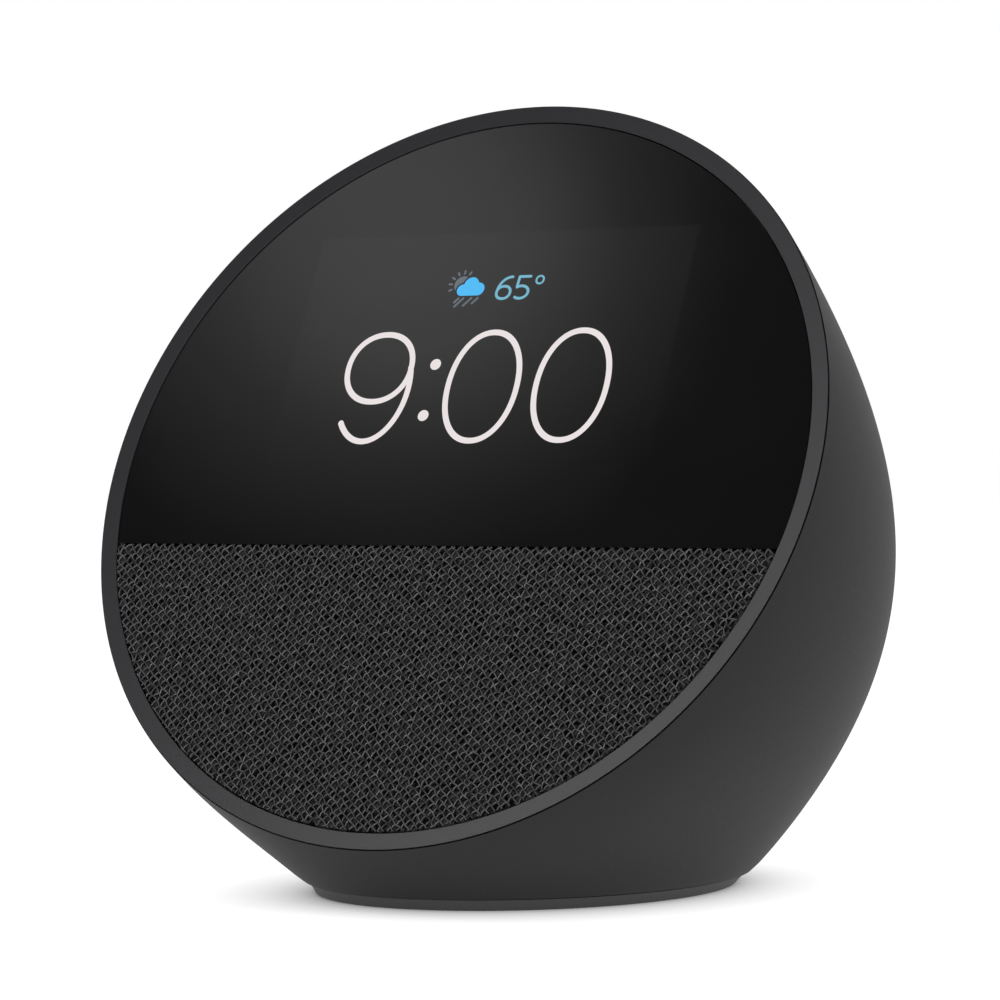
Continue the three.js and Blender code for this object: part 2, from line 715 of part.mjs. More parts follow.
function dcJack() {
  const body = new THREE.BoxGeometry(JACK.width, INLET.length, JACK.top - JACK.bottom)
    .translate(0, INLET.face - INLET.length / 2, (JACK.top + JACK.bottom) / 2);
  const socket = new THREE.CylinderGeometry(JACK.bore, JACK.bore, 2 * JACK.boreDepth, 24)
    .translate(0, INLET.face, INLET.z);
  return shell(cut(solid(body), socket));
}

function jackPin() {
  const length = JACK.boreDepth - 1.5;
  return new THREE.CylinderGeometry(1, 1, length, 16)
    .translate(0, INLET.face - JACK.boreDepth + GAP + length / 2, INLET.z);
}

const INLET_BOARD = { width: 18, back: 36.8, front: 21, bottom: 11.8, top: 13, pegX: 7, pegY: 27 };

function inletBoard() {
  const length = INLET_BOARD.back - INLET_BOARD.front;
  const middle = (INLET_BOARD.back + INLET_BOARD.front) / 2;
  const sheet = block(INLET_BOARD.width, length, INLET_BOARD.bottom, INLET_BOARD.top, 0, middle);
  const holes = [-1, 1].map((side) => bar(1.3, 11, 14, side * INLET_BOARD.pegX, INLET_BOARD.pegY));
  return shell(cut(solid(sheet), ...holes));
}

addPart(display, 'dc_jack', dcJack(), blackPlastic());
addPart(display, 'jack_pin', jackPin(), brass());
addPart(display, 'inlet_board', inletBoard(), laminate());
const POWER_ROUTE = [
  [5, 21.5, 14.5],
  [6, 13, 18],
  [10, 2, 30],
  [16, -10, 37.5],
  [18, -14.2, 43.5],
  [18, -12.8, 48.6],
];
addPart(display, 'power_lead', lead(POWER_ROUTE, 1.1), rubber());

// ---- Base ---------------------------------------------------------------------------------

function basePlate() {
  const outline = oval(BASE_PLATE.halfWidth, BASE_PLATE.halfLength, BASE.y);
  const sheet = plate(outline, BASE_PLATE.bottom, BASE_PLATE.top);
  const bosses = BASE_SCREWS.map(([x, y]) => bar(4, BASE_PLATE.top - 1, 5.6, x, y));
  const pegs = [-1, 1].flatMap((side) => {
    const x = side * INLET_BOARD.pegX;
    return [
      bar(2.2, BASE_PLATE.top - 1, INLET_BOARD.bottom - GAP, x, INLET_BOARD.pegY),
      bar(1, 10, INLET_BOARD.top + 0.6, x, INLET_BOARD.pegY),
    ];
  });
  return shell(cut(
    join(sheet, ...bosses, ...pegs),
    ...BASE_SCREWS.map(([x, y]) => bar(2.7, 0, 3.9, x, y)),
    ...BASE_SCREWS.map(([x, y]) => bar(1.45, 0, 7, x, y)),
  ));
}

function footRing() {
  const outline = oval(FOOT.halfWidth, FOOT.halfLength, FOOT.y);
  outline.holes.push(oval(FOOT.innerWidth, FOOT.innerLength, FOOT.y));
  return plate(outline, 0, FOOT.height);
}

// A steel plate that keeps the leaning face from tipping forward.
function ballast() {
  return plate(oval(25, 15.5, 4.2), BASE_PLATE.top + GAP, BASE_PLATE.top + GAP + 8, 10);
}

addPart(display, 'base_plate', basePlate(), blackPlastic());
addPart(display, 'foot_ring', footRing(), rubber());
addPart(display, 'ballast_plate', ballast(), steel());

BASE_SCREWS.forEach(([x, y], index) => {
  const mesh = addPart(display, `base_screw_${index + 1}`, screw(2.3, 1.5, 1.15, 8.4), steel(), [x, y, 2.1]);
  mesh.rotation.x = Math.PI;
});

export default display;
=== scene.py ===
import math

import bmesh
import bpy
import numpy as np
from mathutils import Matrix, Vector
from mathutils.bvhtree import BVHTree


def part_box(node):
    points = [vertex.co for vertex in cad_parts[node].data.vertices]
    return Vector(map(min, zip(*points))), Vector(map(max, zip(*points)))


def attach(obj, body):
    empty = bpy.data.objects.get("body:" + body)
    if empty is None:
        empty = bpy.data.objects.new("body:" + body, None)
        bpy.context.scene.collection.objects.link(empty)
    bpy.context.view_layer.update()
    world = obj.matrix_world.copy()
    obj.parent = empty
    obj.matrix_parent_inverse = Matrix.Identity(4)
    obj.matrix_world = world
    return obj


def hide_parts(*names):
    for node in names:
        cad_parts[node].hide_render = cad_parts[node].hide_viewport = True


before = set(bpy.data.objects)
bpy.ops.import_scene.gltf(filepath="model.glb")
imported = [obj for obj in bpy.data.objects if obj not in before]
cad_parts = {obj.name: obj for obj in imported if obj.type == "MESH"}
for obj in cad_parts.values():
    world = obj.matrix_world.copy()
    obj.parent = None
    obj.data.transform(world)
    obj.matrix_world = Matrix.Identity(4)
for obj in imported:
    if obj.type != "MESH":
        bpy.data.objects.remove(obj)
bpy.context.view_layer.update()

# ---- Dimensions, in millimetres ----------------------------------------------

MM = 0.001
WIDTH, DEPTH, HEIGHT = 113.0, 103.0, 111.0
TILT = math.radians(25)
GAP = 0.3
WALL = 2.4

FACE_RADIUS = WIDTH / 2
FACE_Y = FACE_RADIUS * math.sin(TILT) - DEPTH / 2
FACE_Z = HEIGHT - FACE_RADIUS * math.cos(TILT)

BASE_HALF_WIDTH, BASE_HALF_LENGTH, BASE_Y, BASE_Z = 28.9, 38.5, -4.8, 1.6
CROWN_LENGTH, CROWN_SLOPE = 54.0, math.radians(34.4)
HEEL_LENGTH, HEEL_SLOPE = 60.3, math.radians(49)
# How late on its way to the base the housing narrows, and how roundly.
NARROWING_LATE, NARROWING_ROUND = 1.93, 0.85

RING_INNER, RING_FRONT, RING_FOOT = 54.1, 0.15, 54.5
RING_LEDGE, RING_LEDGE_INNER, RING_BACK = -2.1, 52.8, -4.2
RING_SLOPE = 0.3
# The seam drawn between ring and housing, and how far the drawn ring reaches towards the glass.
SEAM, LENS_SEAM = 0.11, 0.12
LENS_RADIUS = RING_INNER - GAP
GLASS_TOP, GLASS_BOTTOM = -0.3, -1.8
CLOTH_THICKNESS = 0.6
SPLIT_Y = -12.3
SCREEN_HALF_WIDTH, SCREEN_HALF_HEIGHT, SCREEN_Y = 30.6, 23.0, 13.2

BUTTON_RADIUS, BUTTON_SPACING, BUTTON_PROUD, BUTTON_FLANGE = 4.1, 13.0, 0.4, -5.8
# Where the buttons sit on the back rail, from 0 at the rim to 1 at the base.
BUTTON_PLACE = 0.112
MIC_X, MIC_HOLE = 20.0, 0.6
INLET_Z, INLET_FACE, INLET_RECESS, INLET_COLLAR = 19.5, 37.6, 5.4, 7.2
FOOT_HALF_WIDTH, FOOT_HALF_LENGTH, FOOT_Y = 27.4, 36.0, -5.9
FOOT_TOP_HALF_WIDTH, FOOT_TOP_HALF_LENGTH, FOOT_TOP_Y = 28.5, 37.6, -5.2
FOOT_INNER_WIDTH, FOOT_INNER_LENGTH = 19.0, 27.6
FOOT_SEAM = 0.06


# ---- Frames ------------------------------------------------------------------

def frame_matrix(origin, x_axis, y_axis, z_axis):
    matrix = Matrix((x_axis, y_axis, z_axis)).transposed().to_4x4()
    matrix.translation = origin
    return np.array(matrix)


FACE = frame_matrix(
    (0, FACE_Y, FACE_Z),
    (1, 0, 0),
    (0, math.sin(TILT), math.cos(TILT)),
    (0, -math.cos(TILT), math.sin(TILT)),
)


def moved(points, matrix):
    points = np.asarray(points, float)
    return points @ matrix[:3, :3].T + matrix[:3, 3]


def around(sides):
    """Evenly spaced angles of a full turn."""
    return np.arange(sides) * 2 * math.pi / sides


# ---- Housing form ------------------------------------------------------------

def face_rim(side):
    return np.array([
        FACE_Y + side * FACE_RADIUS * math.sin(TILT),
        FACE_Z + side * FACE_RADIUS * math.cos(TILT),
    ])


RIM_TOP, RIM_BOTTOM = face_rim(1), face_rim(-1)
BASE_BACK = np.array([BASE_Y + BASE_HALF_LENGTH, BASE_Z])
BASE_FRONT = np.array([BASE_Y - BASE_HALF_LENGTH, BASE_Z])
CROWN_HANDLE = RIM_TOP + CROWN_LENGTH * np.array([math.cos(CROWN_SLOPE), -math.sin(CROWN_SLOPE)])
HEEL_HANDLE = BASE_BACK + HEEL_LENGTH * np.array([math.cos(HEEL_SLOPE), math.sin(HEEL_SLOPE)])


def back_rail(t):
    t = np.asarray(t, float)[..., None]
    s = 1 - t
    return (
        s**3 * RIM_TOP + 3 * s * s * t * CROWN_HANDLE
        + 3 * s * t * t * HEEL_HANDLE + t**3 * BASE_BACK
    )


def skin(t, turn):
    """A point of the housing's outside: t runs from face to base, turn runs round from the back."""
    t, turn = np.broadcast_arrays(np.asarray(t, float), np.asarray(turn, float))
    back = back_rail(t)
    front = RIM_BOTTOM + (BASE_FRONT - RIM_BOTTOM) * t[..., None]
    narrow = (1 - np.clip(t, 0, 1) ** NARROWING_LATE) ** NARROWING_ROUND
    half_width = BASE_HALF_WIDTH + (FACE_RADIUS - BASE_HALF_WIDTH) * narrow
    to_back = ((1 + np.cos(turn)) / 2)[..., None]
    middle = front + (back - front) * to_back
    return np.stack([half_width * np.sin(turn), middle[..., 0], middle[..., 1]], -1)


def skin_normal(t, turn):
    step = 0.01
    start = np.clip(t, step, 1 - 2 * step)
    along = skin(start + step, turn) - skin(start - step, turn)
    round_it = skin(start, turn + step) - skin(start, turn - step)
    normal = np.cross(round_it, along)
    return normal / np.linalg.norm(normal, axis=-1, keepdims=True)


COLUMNS = 256
TURNS = around(COLUMNS)


def ring_row(radius, height):
    """A circle in the face frame whose columns line up with the housing's."""
    circle = np.stack([
        radius * np.sin(TURNS), radius * np.cos(TURNS), np.full(COLUMNS, float(height)),
    ], -1)
    return moved(circle, FACE)


# ---- Mesh helpers ------------------------------------------------------------

# Where the row beside a rounded corner lies, in corner radii.
HOLD = 1.5


def circle_row(radius, height, sides, x=0.0):
    angle = around(sides)
    heights = np.broadcast_to(np.asarray(height, float), angle.shape)
    return np.stack([x + radius * np.cos(angle), radius * np.sin(angle), heights], -1)


def corner_rows(before, corner, after, radius, steps=5):
    """Rows that round a corner over about radius on each side, between two that hold the flats flat."""
    def along(row, reach):
        arm = row - corner
        length = np.linalg.norm(arm, axis=-1, keepdims=True)
        return corner + arm * np.minimum(reach / length, 0.45 * reach / radius / HOLD)

    start, end = along(before, radius), along(after, radius)
    shares = np.linspace(0, 1, steps)
    arc_rows = [(1 - s) ** 2 * start + 2 * s * (1 - s) * corner + s * s * end for s in shares]
    return [along(before, radius * HOLD), *arc_rows, along(after, radius * HOLD)]


def rounded_rows(rows, radii):
    """The closed loop of rows, with every corner that has a radius rounded."""
    result = []
    for i, radius in enumerate(radii):
        if radius:
            result += corner_rows(rows[i - 1], rows[i], rows[(i + 1) % len(rows)], radius)
        else:
            result.append(rows[i])
    return result


def make_object(name, vertices, faces, smooth_angle):
    """A mesh object from points in millimetres."""
    mesh = bpy.data.meshes.new(name)
    mesh.from_pydata((np.asarray(vertices, float) * MM).tolist(), [], [list(f) for f in faces])
    work = bmesh.new()
    work.from_mesh(mesh)
    bmesh.ops.recalc_face_normals(work, faces=work.faces)
    work.to_mesh(mesh)
    work.free()
    obj = bpy.data.objects.new(name, mesh)
    bpy.context.scene.collection.objects.link(obj)
    shade(obj, smooth_angle)
    return obj


def shade(obj, smooth_angle):
    mesh = obj.data
    mesh.polygons.foreach_set("use_smooth", np.ones(len(mesh.polygons), bool))
    mesh.set_sharp_from_angle(angle=math.radians(smooth_angle))


def wrapped_faces(row_count, columns, closed):
    """Quads between neighbouring rows, each row a closed ring of columns."""
    pairs = row_count if closed else row_count - 1
    rows = np.arange(pairs)[:, None]
    cols = np.arange(columns)[None, :]
    nxt = (cols + 1) % columns
    below = (rows + 1) % row_count
    quads = np.stack([
        rows * columns + cols, rows * columns + nxt, below * columns + nxt, below * columns + cols,
    ], -1)
    return quads.reshape(-1, 4).tolist()


def capped_faces(row_count, columns):
    """Quads between neighbouring rows, with a flat end on the first row and on the last."""
    ends = [list(range(start, start + columns)) for start in (0, (row_count - 1) * columns)]
    return wrapped_faces(row_count, columns, False) + ends


def wrapped(name, rows, closed=True, smooth_angle=35):
    """A body from rows that are rings of points. An open one gets flat ends."""
    size = len(rows), len(rows[0])
    faces = wrapped_faces(*size, True) if closed else capped_faces(*size)
    return make_object(name, np.concatenate(rows), faces, smooth_angle)


def turned(name, profile, radii, sides, matrix):
    """A closed profile of (radius, height) corners, rounded by radii and turned about z."""
    rows = [moved(circle_row(r, z, sides), matrix) for r, z in profile]
    return wrapped(name, rounded_rows(rows, radii))


def apply_modifiers(obj):
    graph = bpy.context.evaluated_depsgraph_get()
    mesh = bpy.data.meshes.new_from_object(obj.evaluated_get(graph))
    obj.modifiers.clear()
    obj.data = mesh


def cut_with(obj, tools, operation="DIFFERENCE"):
    for tool in tools:
        modifier = obj.modifiers.new("cut", "BOOLEAN")
        modifier.operation = operation
        modifier.solver = "EXACT"
        modifier.object = tool
    bpy.context.view_layer.update()
    apply_modifiers(obj)
    for tool in tools:
        bpy.data.objects.remove(tool)


# ---- Materials ---------------------------------------------------------------

def grey(level):
    """The linear value of an sRGB grey level from 0 to 255."""
    c = level / 255
    return c / 12.92 if c <= 0.04045 else ((c + 0.055) / 1.055) ** 2.4


def rgb(*levels):
    return tuple(grey(level) for level in levels)


class Graph:
    """The node tree of a material or of the world, under construction."""

    def __init__(self, owner):
        owner.use_nodes = True
        self.nodes, self.links = owner.node_tree.nodes, owner.node_tree.links
        self.nodes.clear()

    def fill(self, node, sockets):
        """Each socket takes another node's output or a fixed value."""
        for key, value in sockets.items():
            if isinstance(value, bpy.types.NodeSocket):
                self.links.new(value, node.inputs[key])
            else:
                node.inputs[key].default_value = value

    def node(self, kind, sockets, output=0, **settings):
        node = self.nodes.new("ShaderNode" + kind)
        for key, value in settings.items():
            setattr(node, key, value)
        self.fill(node, sockets)
        return node.outputs[output]

    def maths(self, operation, *values):
        return self.node("Math", dict(enumerate(values)), operation=operation)

    def ranged(self, value, low, high, start=0.0, end=1.0, **settings):
        """The value, mapped from start..end to low..high."""
        limits = {"From Min": start, "From Max": end, "To Min": low, "To Max": high}
        return self.node("MapRange", {"Value": value, **limits}, "Result", **settings)


class Recipe(Graph):
    """A material: a principled shader and the nodes that feed it."""

    def __init__(self, name):
        self.material = bpy.data.materials.new(name)
        super().__init__(self.material)
        self.output = self.nodes.new("ShaderNodeOutputMaterial")
        self.shader = self.nodes.new("ShaderNodeBsdfPrincipled")
        self.fill(self.output, {"Surface": self.shader.outputs[0]})
        self.place = self.node("TexCoord", {}, "Object")

    def surface(self, sockets):
        """Fills the shader's sockets. The result is the material."""
        self.fill(self.shader, sockets)
        return self.material

    def mapped(self, scale, location=(0, 0, 0)):
        return self.node("Mapping", {"Vector": self.place, "Location": location, "Scale": scale})

    def noise(self, scale, detail=2.0, roughness=0.5, place=None):
        kind = {"Scale": scale, "Detail": detail, "Roughness": roughness}
        return self.node("TexNoise", {"Vector": place or self.place, **kind}, "Fac")

    def blend(self, value, dark, light):
        colours = {"A": (*dark, 1), "B": (*light, 1)}
        return self.node("Mix", {"Factor": value, **colours}, "Result", data_type="RGBA")

    def gloss(self, grain, middle, spread):
        """A roughness that varies with the grain."""
        return self.ranged(grain, middle - spread, middle + spread, 0.3, 0.7)

    def bump(self, height, strength, distance):
        return self.node("Bump", {"Height": height, "Strength": strength, "Distance": distance})


def moulded(
    name, dark, light, roughness,
    grain=5200.0, bump=0.35, depth=0.00003, metallic=0.0, specular=0.5,
):
    """A fine-grained material: a slow change of tone, a fine grain in the surface and in its gloss."""
    recipe = Recipe(name)
    fine = recipe.noise(grain)
    return recipe.surface({
        "Base Color": recipe.blend(recipe.noise(60.0, 3.0), dark, light),
        "Roughness": recipe.gloss(fine, roughness, 0.05),
        "Normal": recipe.bump(fine, bump, depth),
        "Metallic": metallic,
        "Specular IOR Level": specular,
    })


def brushed_metal(name, dark, light, roughness, stretch=(900, 900, 60)):
    """A metal with a directional grain."""
    recipe = Recipe(name)
    grain = recipe.noise(1.0, 4.0, place=recipe.mapped(stretch))
    return recipe.surface({
        "Base Color": recipe.blend(recipe.noise(80.0), dark, light),
        "Roughness": recipe.gloss(grain, roughness, 0.1),
        "Normal": recipe.bump(grain, 0.15, 0.00002),
        "Metallic": 1.0,
    })


def glowing(name, colour):
    """Lit display elements, with the faint unevenness of a backlight."""
    recipe = Recipe(name)
    soft = tuple(c * 0.94 for c in colour)
    return recipe.surface({
        "Emission Color": recipe.blend(recipe.noise(160.0), soft, colour),
        "Emission Strength": 1.0,
        "Base Color": (0.0, 0.0, 0.0, 1),
        "Specular IOR Level": 0.0,
        "Roughness": 0.6,
    })


BACKLIGHT_LEAK = (0.0036, 0.0036, 0.0039)
LEAK_EDGE = 0.15
LEAK_FADE_START, LEAK_FADE_END = -4, 30


def display_glass(name):
    """Black glass. Where the screen lies behind it a little of the backlight comes through."""
    recipe = Recipe(name)
    split = recipe.nodes.new("ShaderNodeSeparateXYZ")
    recipe.fill(split, {"Vector": recipe.place})
    across, height = recipe.maths("ABSOLUTE", split.outputs["X"]), split.outputs["Z"]

    # The face leans, so height above the floor says how far up the face a point is.
    def face_height(y):
        return (FACE_Z + y * math.cos(TILT)) * MM

    side = SCREEN_HALF_WIDTH
    top, bottom = SCREEN_Y + SCREEN_HALF_HEIGHT, SCREEN_Y - SCREEN_HALF_HEIGHT
    leak = recipe.ranged(across, 1, 0, (side - LEAK_EDGE) * MM, (side + LEAK_EDGE) * MM)
    for share in (
        recipe.ranged(height, 1, 0, face_height(top - LEAK_EDGE), face_height(top + LEAK_EDGE)),
        recipe.ranged(height, 0, 1, face_height(bottom - LEAK_EDGE), face_height(bottom + LEAK_EDGE)),
        recipe.ranged(height, 0, 1, face_height(LEAK_FADE_START), face_height(LEAK_FADE_END)),
    ):
        leak = recipe.maths("MULTIPLY", leak, share)
    smear = recipe.noise(45.0, 3.0)
    return recipe.surface({
        "Emission Color": recipe.blend(leak, (0, 0, 0), BACKLIGHT_LEAK),
        "Emission Strength": 1.0,
        "Base Color": recipe.blend(smear, rgb(19, 19, 20), rgb(22, 22, 23)),
        "Roughness": recipe.gloss(smear, 0.07, 0.02),
        "IOR": 1.5,
    })


def yarn(name, dark, light):
    """Spun yarn with a painted highlight along its crest. Each stretch has its own tone, and fibres break it
    up.
    """
    recipe = Recipe(name)
    tone = recipe.node("Attribute", {}, "Fac", attribute_name="tone")
    # The crest's lightness is a painted highlight on the top of the yarn, broken up by the fibres.
    crest_highlight = recipe.maths("POWER", tone, 2.0)
    fibres = recipe.noise(7000.0, 3.0, 0.7)
    broken_highlight = recipe.maths("MULTIPLY", crest_highlight, recipe.ranged(fibres, 0.4, 1.6, 0.3, 0.7))
    return recipe.surface({
        "Base Color": recipe.blend(broken_highlight, dark, light),
        "Normal": recipe.bump(fibres, 0.6, 0.00004),
        "Roughness": 0.85,
        "Specular IOR Level": 0.2,
    })


def fine_weave(name, dark, light, pitch):
    """A woven cloth whose crossing threads are in the material."""
    recipe = Recipe(name)
    thread = {"Vector": recipe.place, "Scale": 0.3 / pitch, "Distortion": 0.6}
    waves = [recipe.node("TexWave", thread, "Fac", bands_direction=axis) for axis in ("X", "Z")]
    cross = recipe.maths("MULTIPLY", *waves)
    return recipe.surface({
        "Base Color": recipe.blend(cross, dark, light),
        "Normal": recipe.bump(cross, 0.5, 0.00005),
        "Roughness": 0.9,
    })


def loose_fleece(name, dark, light):
    """The fleecy lining under the yarns: clumps of fibre, with painted shade in the hollows between them."""
    recipe = Recipe(name)
    clumps = recipe.noise(1500.0, 2.0, 0.6)
    return recipe.surface({
        # Dark where the clumps dip: painted shade in the hollows.
        "Base Color": recipe.blend(recipe.ranged(clumps, 0, 1, 0.42, 0.62), dark, light),
        "Normal": recipe.bump(clumps, 0.6, 0.0002),
        "Roughness": 0.95,
        "Specular IOR Level": 0.1,
    })


def board_laminate(name):
    """Solder-masked board: green mask over tracks and pads."""
    recipe = Recipe(name)
    sockets = {"Vector": recipe.place, "Scale": 420.0}
    cells = recipe.node("TexVoronoi", sockets, "Distance", feature="DISTANCE_TO_EDGE")
    tracks = recipe.ranged(cells, 1, 0, 0.03, 0.07)
    return recipe.surface({
        "Base Color": recipe.blend(tracks, rgb(18, 62, 42), rgb(48, 104, 70)),
        "Normal": recipe.bump(tracks, 0.3, 0.00003),
        "Roughness": 0.38,
    })


MATERIALS = {
    "housing": moulded("charcoal_shell", rgb(26, 26, 28), rgb(30, 30, 32), 0.62, specular=0.23),
    "bezel": moulded("charcoal_satin", rgb(39, 39, 42), rgb(43, 43, 46), 0.34, bump=0.12),
    "button_plastic": moulded(
        "charcoal_button", rgb(39, 40, 41), rgb(44, 45, 46), 0.42, bump=0.2, specular=0.3,
    ),
    "cover_glass": display_glass("display_black_glass"),
    "speaker_cloth": loose_fleece("acoustic_lining", rgb(6, 6, 6), rgb(72, 72, 73)),
    "black_plastic": moulded("black_moulding", rgb(20, 20, 22), rgb(30, 30, 32), 0.5),
    "screen": moulded("panel_polariser", rgb(9, 9, 11), rgb(13, 13, 15), 0.2, bump=0.05),
    "diffuser": moulded("diffuser_film", rgb(218, 218, 212), rgb(234, 234, 230), 0.6, bump=0.1),
    "steel": brushed_metal("plated_steel", rgb(150, 151, 153), rgb(178, 179, 182), 0.35),
    "screw_steel": brushed_metal("screw_steel", rgb(128, 129, 132), rgb(165, 166, 170), 0.32),
    "aluminium": brushed_metal("cast_aluminium", rgb(176, 178, 181), rgb(200, 202, 206), 0.4),
    "copper": brushed_metal("wound_copper", rgb(168, 92, 48), rgb(200, 122, 70), 0.35, (60, 60, 2600)),
    "brass": brushed_metal("pin_brass", rgb(176, 138, 66), rgb(206, 170, 96), 0.28),
    "ferrite": moulded("ferrite", rgb(44, 44, 48), rgb(66, 66, 70), 0.6, metallic=0.2),
    "cone_paper": moulded("cone_paper", rgb(26, 26, 28), rgb(40, 40, 42), 0.85, grain=1800.0, bump=0.6),
    "spider_cloth": fine_weave("spider_cloth", rgb(112, 84, 46), rgb(160, 126, 76), 0.0006),
    "black_rubber": moulded("black_rubber", rgb(24, 24, 26), rgb(34, 34, 36), 0.75, grain=2600.0),
    "foot_rubber": moulded("foot_rubber", rgb(58, 58, 60), rgb(64, 64, 66), 0.7, grain=3200.0, bump=0.5),
    "foam": moulded(
        "gasket_foam", rgb(18, 18, 19), rgb(38, 38, 40), 0.95, grain=1200.0, bump=0.9, depth=0.0001,
    ),
    "circuit_board": board_laminate("board_laminate"),
    "flex_circuit": moulded("flex_polyimide", rgb(150, 84, 26), rgb(184, 112, 44), 0.35, grain=1500.0),
    "chip": moulded("chip_package", rgb(22, 22, 24), rgb(32, 32, 34), 0.45),
    "button_stem": moulded("switch_stem", rgb(120, 122, 126), rgb(142, 144, 148), 0.5),
}
YARN_ONE = yarn("yarn_light", rgb(34, 34, 35), rgb(160, 160, 162))
YARN_TWO = yarn("yarn_dark", rgb(30, 30, 31), rgb(128, 128, 130))
CLOCK_LIGHT = glowing("clock_light", rgb(238, 230, 230))
SKY_LIGHT = glowing("sky_light", rgb(88, 192, 250))
WEATHER_LIGHT = glowing("weather_text_light", rgb(124, 186, 208))
DIM_LIGHT = glowing("dim_light", rgb(112, 118, 126))
MARK_INK = moulded("mark_ink", rgb(150, 151, 153), rgb(166, 167, 170), 0.6)


def finish_as(obj, slot, body="case", replaces=(), material=None):
    """Gives a new piece its material, which is the slot's unless one is given, and its body, and hides the
    nodes that it stands for.
    """
    obj.data.materials.clear()
    obj.data.materials.append(material or MATERIALS[slot])
    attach(obj, body)
    if replaces:
        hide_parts(*replaces)
    return obj


# ---- Housing -----------------------------------------------------------------

LIP_RADIUS = RING_FOOT + GAP
LIP_BACK = RING_BACK - GAP
RIM_ROUNDING, BASE_ROUNDING = 0.1, 0.35


def inner_wall_rows(count):
    """Rows of the inner wall from the base up to the ledge behind the bezel ring."""
    shares = np.linspace(0, 1, 400)
    grid = skin(shares[:, None], TURNS[None, :])
    grid = grid - WALL * skin_normal(shares[:, None], TURNS[None, :])
    depth = (grid - FACE[:3, 3]) @ FACE[:3, 2]
    start = np.array([np.interp(-LIP_BACK, -depth[:, c], shares) for c in range(COLUMNS)])
    rows = []
    for step in np.linspace(1, 0, count):
        t = start + (1 - start) * step
        rows.append(skin(t, TURNS) - WALL * skin_normal(t, TURNS))
    return rows


def housing_rows():
    bevel = FACE_RADIUS - LIP_RADIUS
    front_rows = [ring_row(LIP_RADIUS, LIP_BACK), ring_row(LIP_RADIUS, -bevel)]
    rim = skin(0.0, TURNS)
    # Rows lie closer together towards the base.
    shares = 1 - (1 - np.linspace(0.004, 1, 150)) ** 1.35
    outside = [skin(t, TURNS) for t in shares]
    rows = front_rows + corner_rows(front_rows[1], rim, outside[2], RIM_ROUNDING) + outside[2:-6]
    inner = inner_wall_rows(60)
    base_inside = inner[0].copy()
    base_inside[:, 2] = BASE_Z
    rows += corner_rows(outside[-7], outside[-1], base_inside, BASE_ROUNDING, 7)
    rows.append(base_inside)
    return rows + inner


def crown_frame():
    """The buttons' frame: x across, z out of the surface where the middle button sits."""
    place = back_rail(BUTTON_PLACE)
    ahead = back_rail(BUTTON_PLACE + 1e-4) - back_rail(BUTTON_PLACE - 1e-4)
    ahead = ahead / np.linalg.norm(ahead)
    return frame_matrix(
        (0, place[0], place[1]), (1, 0, 0), (0, ahead[0], ahead[1]), (0, -ahead[1], ahead[0]),
    )


CROWN = crown_frame()
INLET = frame_matrix((0, INLET_FACE, INLET_Z), (-1, 0, 0), (0, 0, 1), (0, 1, 0))


class Surface:
    """Looks up how far out the housing's skin lies along a frame's z axis."""

    def __init__(self, rows):
        points = np.concatenate(rows)
        faces = wrapped_faces(len(rows), len(rows[0]), False)
        self.tree = BVHTree.FromPolygons([Vector(p) for p in points], faces)

    def height(self, matrix, x, y, above=60.0):
        axis = matrix[:3, 2]
        start = moved([[x, y, above]], matrix)[0]
        hit = self.tree.ray_cast(Vector(start), Vector(-axis))
        return above - hit[3]


SURFACE = Surface([skin(t, TURNS) for t in np.linspace(0.0, 0.995, 160)])


def bore_tool(matrix, radius, bottom, flare, x=0.0, sides=48):
    """A cutter for a round hole square to a frame, whose mouth is eased by flare."""
    def row(r, height):
        return circle_row(r, height, sides, x)

    def skin_heights(r):
        return np.array([SURFACE.height(matrix, px, py) for px, py, _ in row(r, 0)])

    wide = radius + flare
    wall, mouth = skin_heights(radius), skin_heights(wide)
    rows = [row(radius, bottom)]
    rows += corner_rows(row(radius, wall - 3 * flare), row(radius, wall), row(wide, mouth), flare * 0.9)
    rows += [row(wide, mouth), row(wide + 1, mouth + 1), row(wide + 1, mouth + 4)]
    return wrapped("tool", [moved(r, matrix) for r in rows], closed=False)


def inlet_collar():
    """The tube round the power inlet, from its seat to the middle of the sloping wall."""
    seat = circle_row(INLET_COLLAR, GAP, 96)
    wall = np.array([SURFACE.height(INLET, x, y) for x, y, _ in seat])
    end = circle_row(INLET_COLLAR, wall - WALL / 2, 96)
    return wrapped("tool", [moved(seat, INLET), moved(end, INLET)], closed=False)


def make_housing():
    shell = wrapped("housing_shell", housing_rows(), smooth_angle=40)
    cut_with(shell, [inlet_collar()], "UNION")
    tools = [bore_tool(CROWN, BUTTON_RADIUS + GAP, -8, 0.3, i * BUTTON_SPACING) for i in (-1, 0, 1)]
    tools += [bore_tool(CROWN, MIC_HOLE, -10, 0.15, side * MIC_X, sides=24) for side in (-1, 1)]
    tools.append(bore_tool(INLET, INLET_RECESS, -0.5, 0.5, sides=96))
    cut_with(shell, tools)
    shade(shell, 30)
    return finish_as(shell, "housing", replaces=["housing"])


make_housing()


# ---- Bezel ring, glass and foot ----------------------------------------------

def make_bezel_ring():
    """A flat band that falls a little towards the glass, with a hairline seam to the housing."""
    outer = FACE_RADIUS - SEAM
    bevel = outer - RING_FOOT
    profile = [
        (RING_INNER - LENS_SEAM, RING_FRONT - RING_SLOPE),
        (outer, RING_FRONT),
        (RING_FOOT, RING_FRONT - bevel),
        (RING_FOOT, RING_BACK),
        (RING_LEDGE_INNER, RING_BACK),
        (RING_LEDGE_INNER, RING_LEDGE),
        (RING_INNER - LENS_SEAM, RING_LEDGE),
    ]
    radii = [0.05, 0.06, 0.2, 0.15, 0.15, 0.1, 0]
    ring = turned("bezel_band", profile, radii, 320, FACE)
    return finish_as(ring, "bezel", replaces=["bezel_ring"])


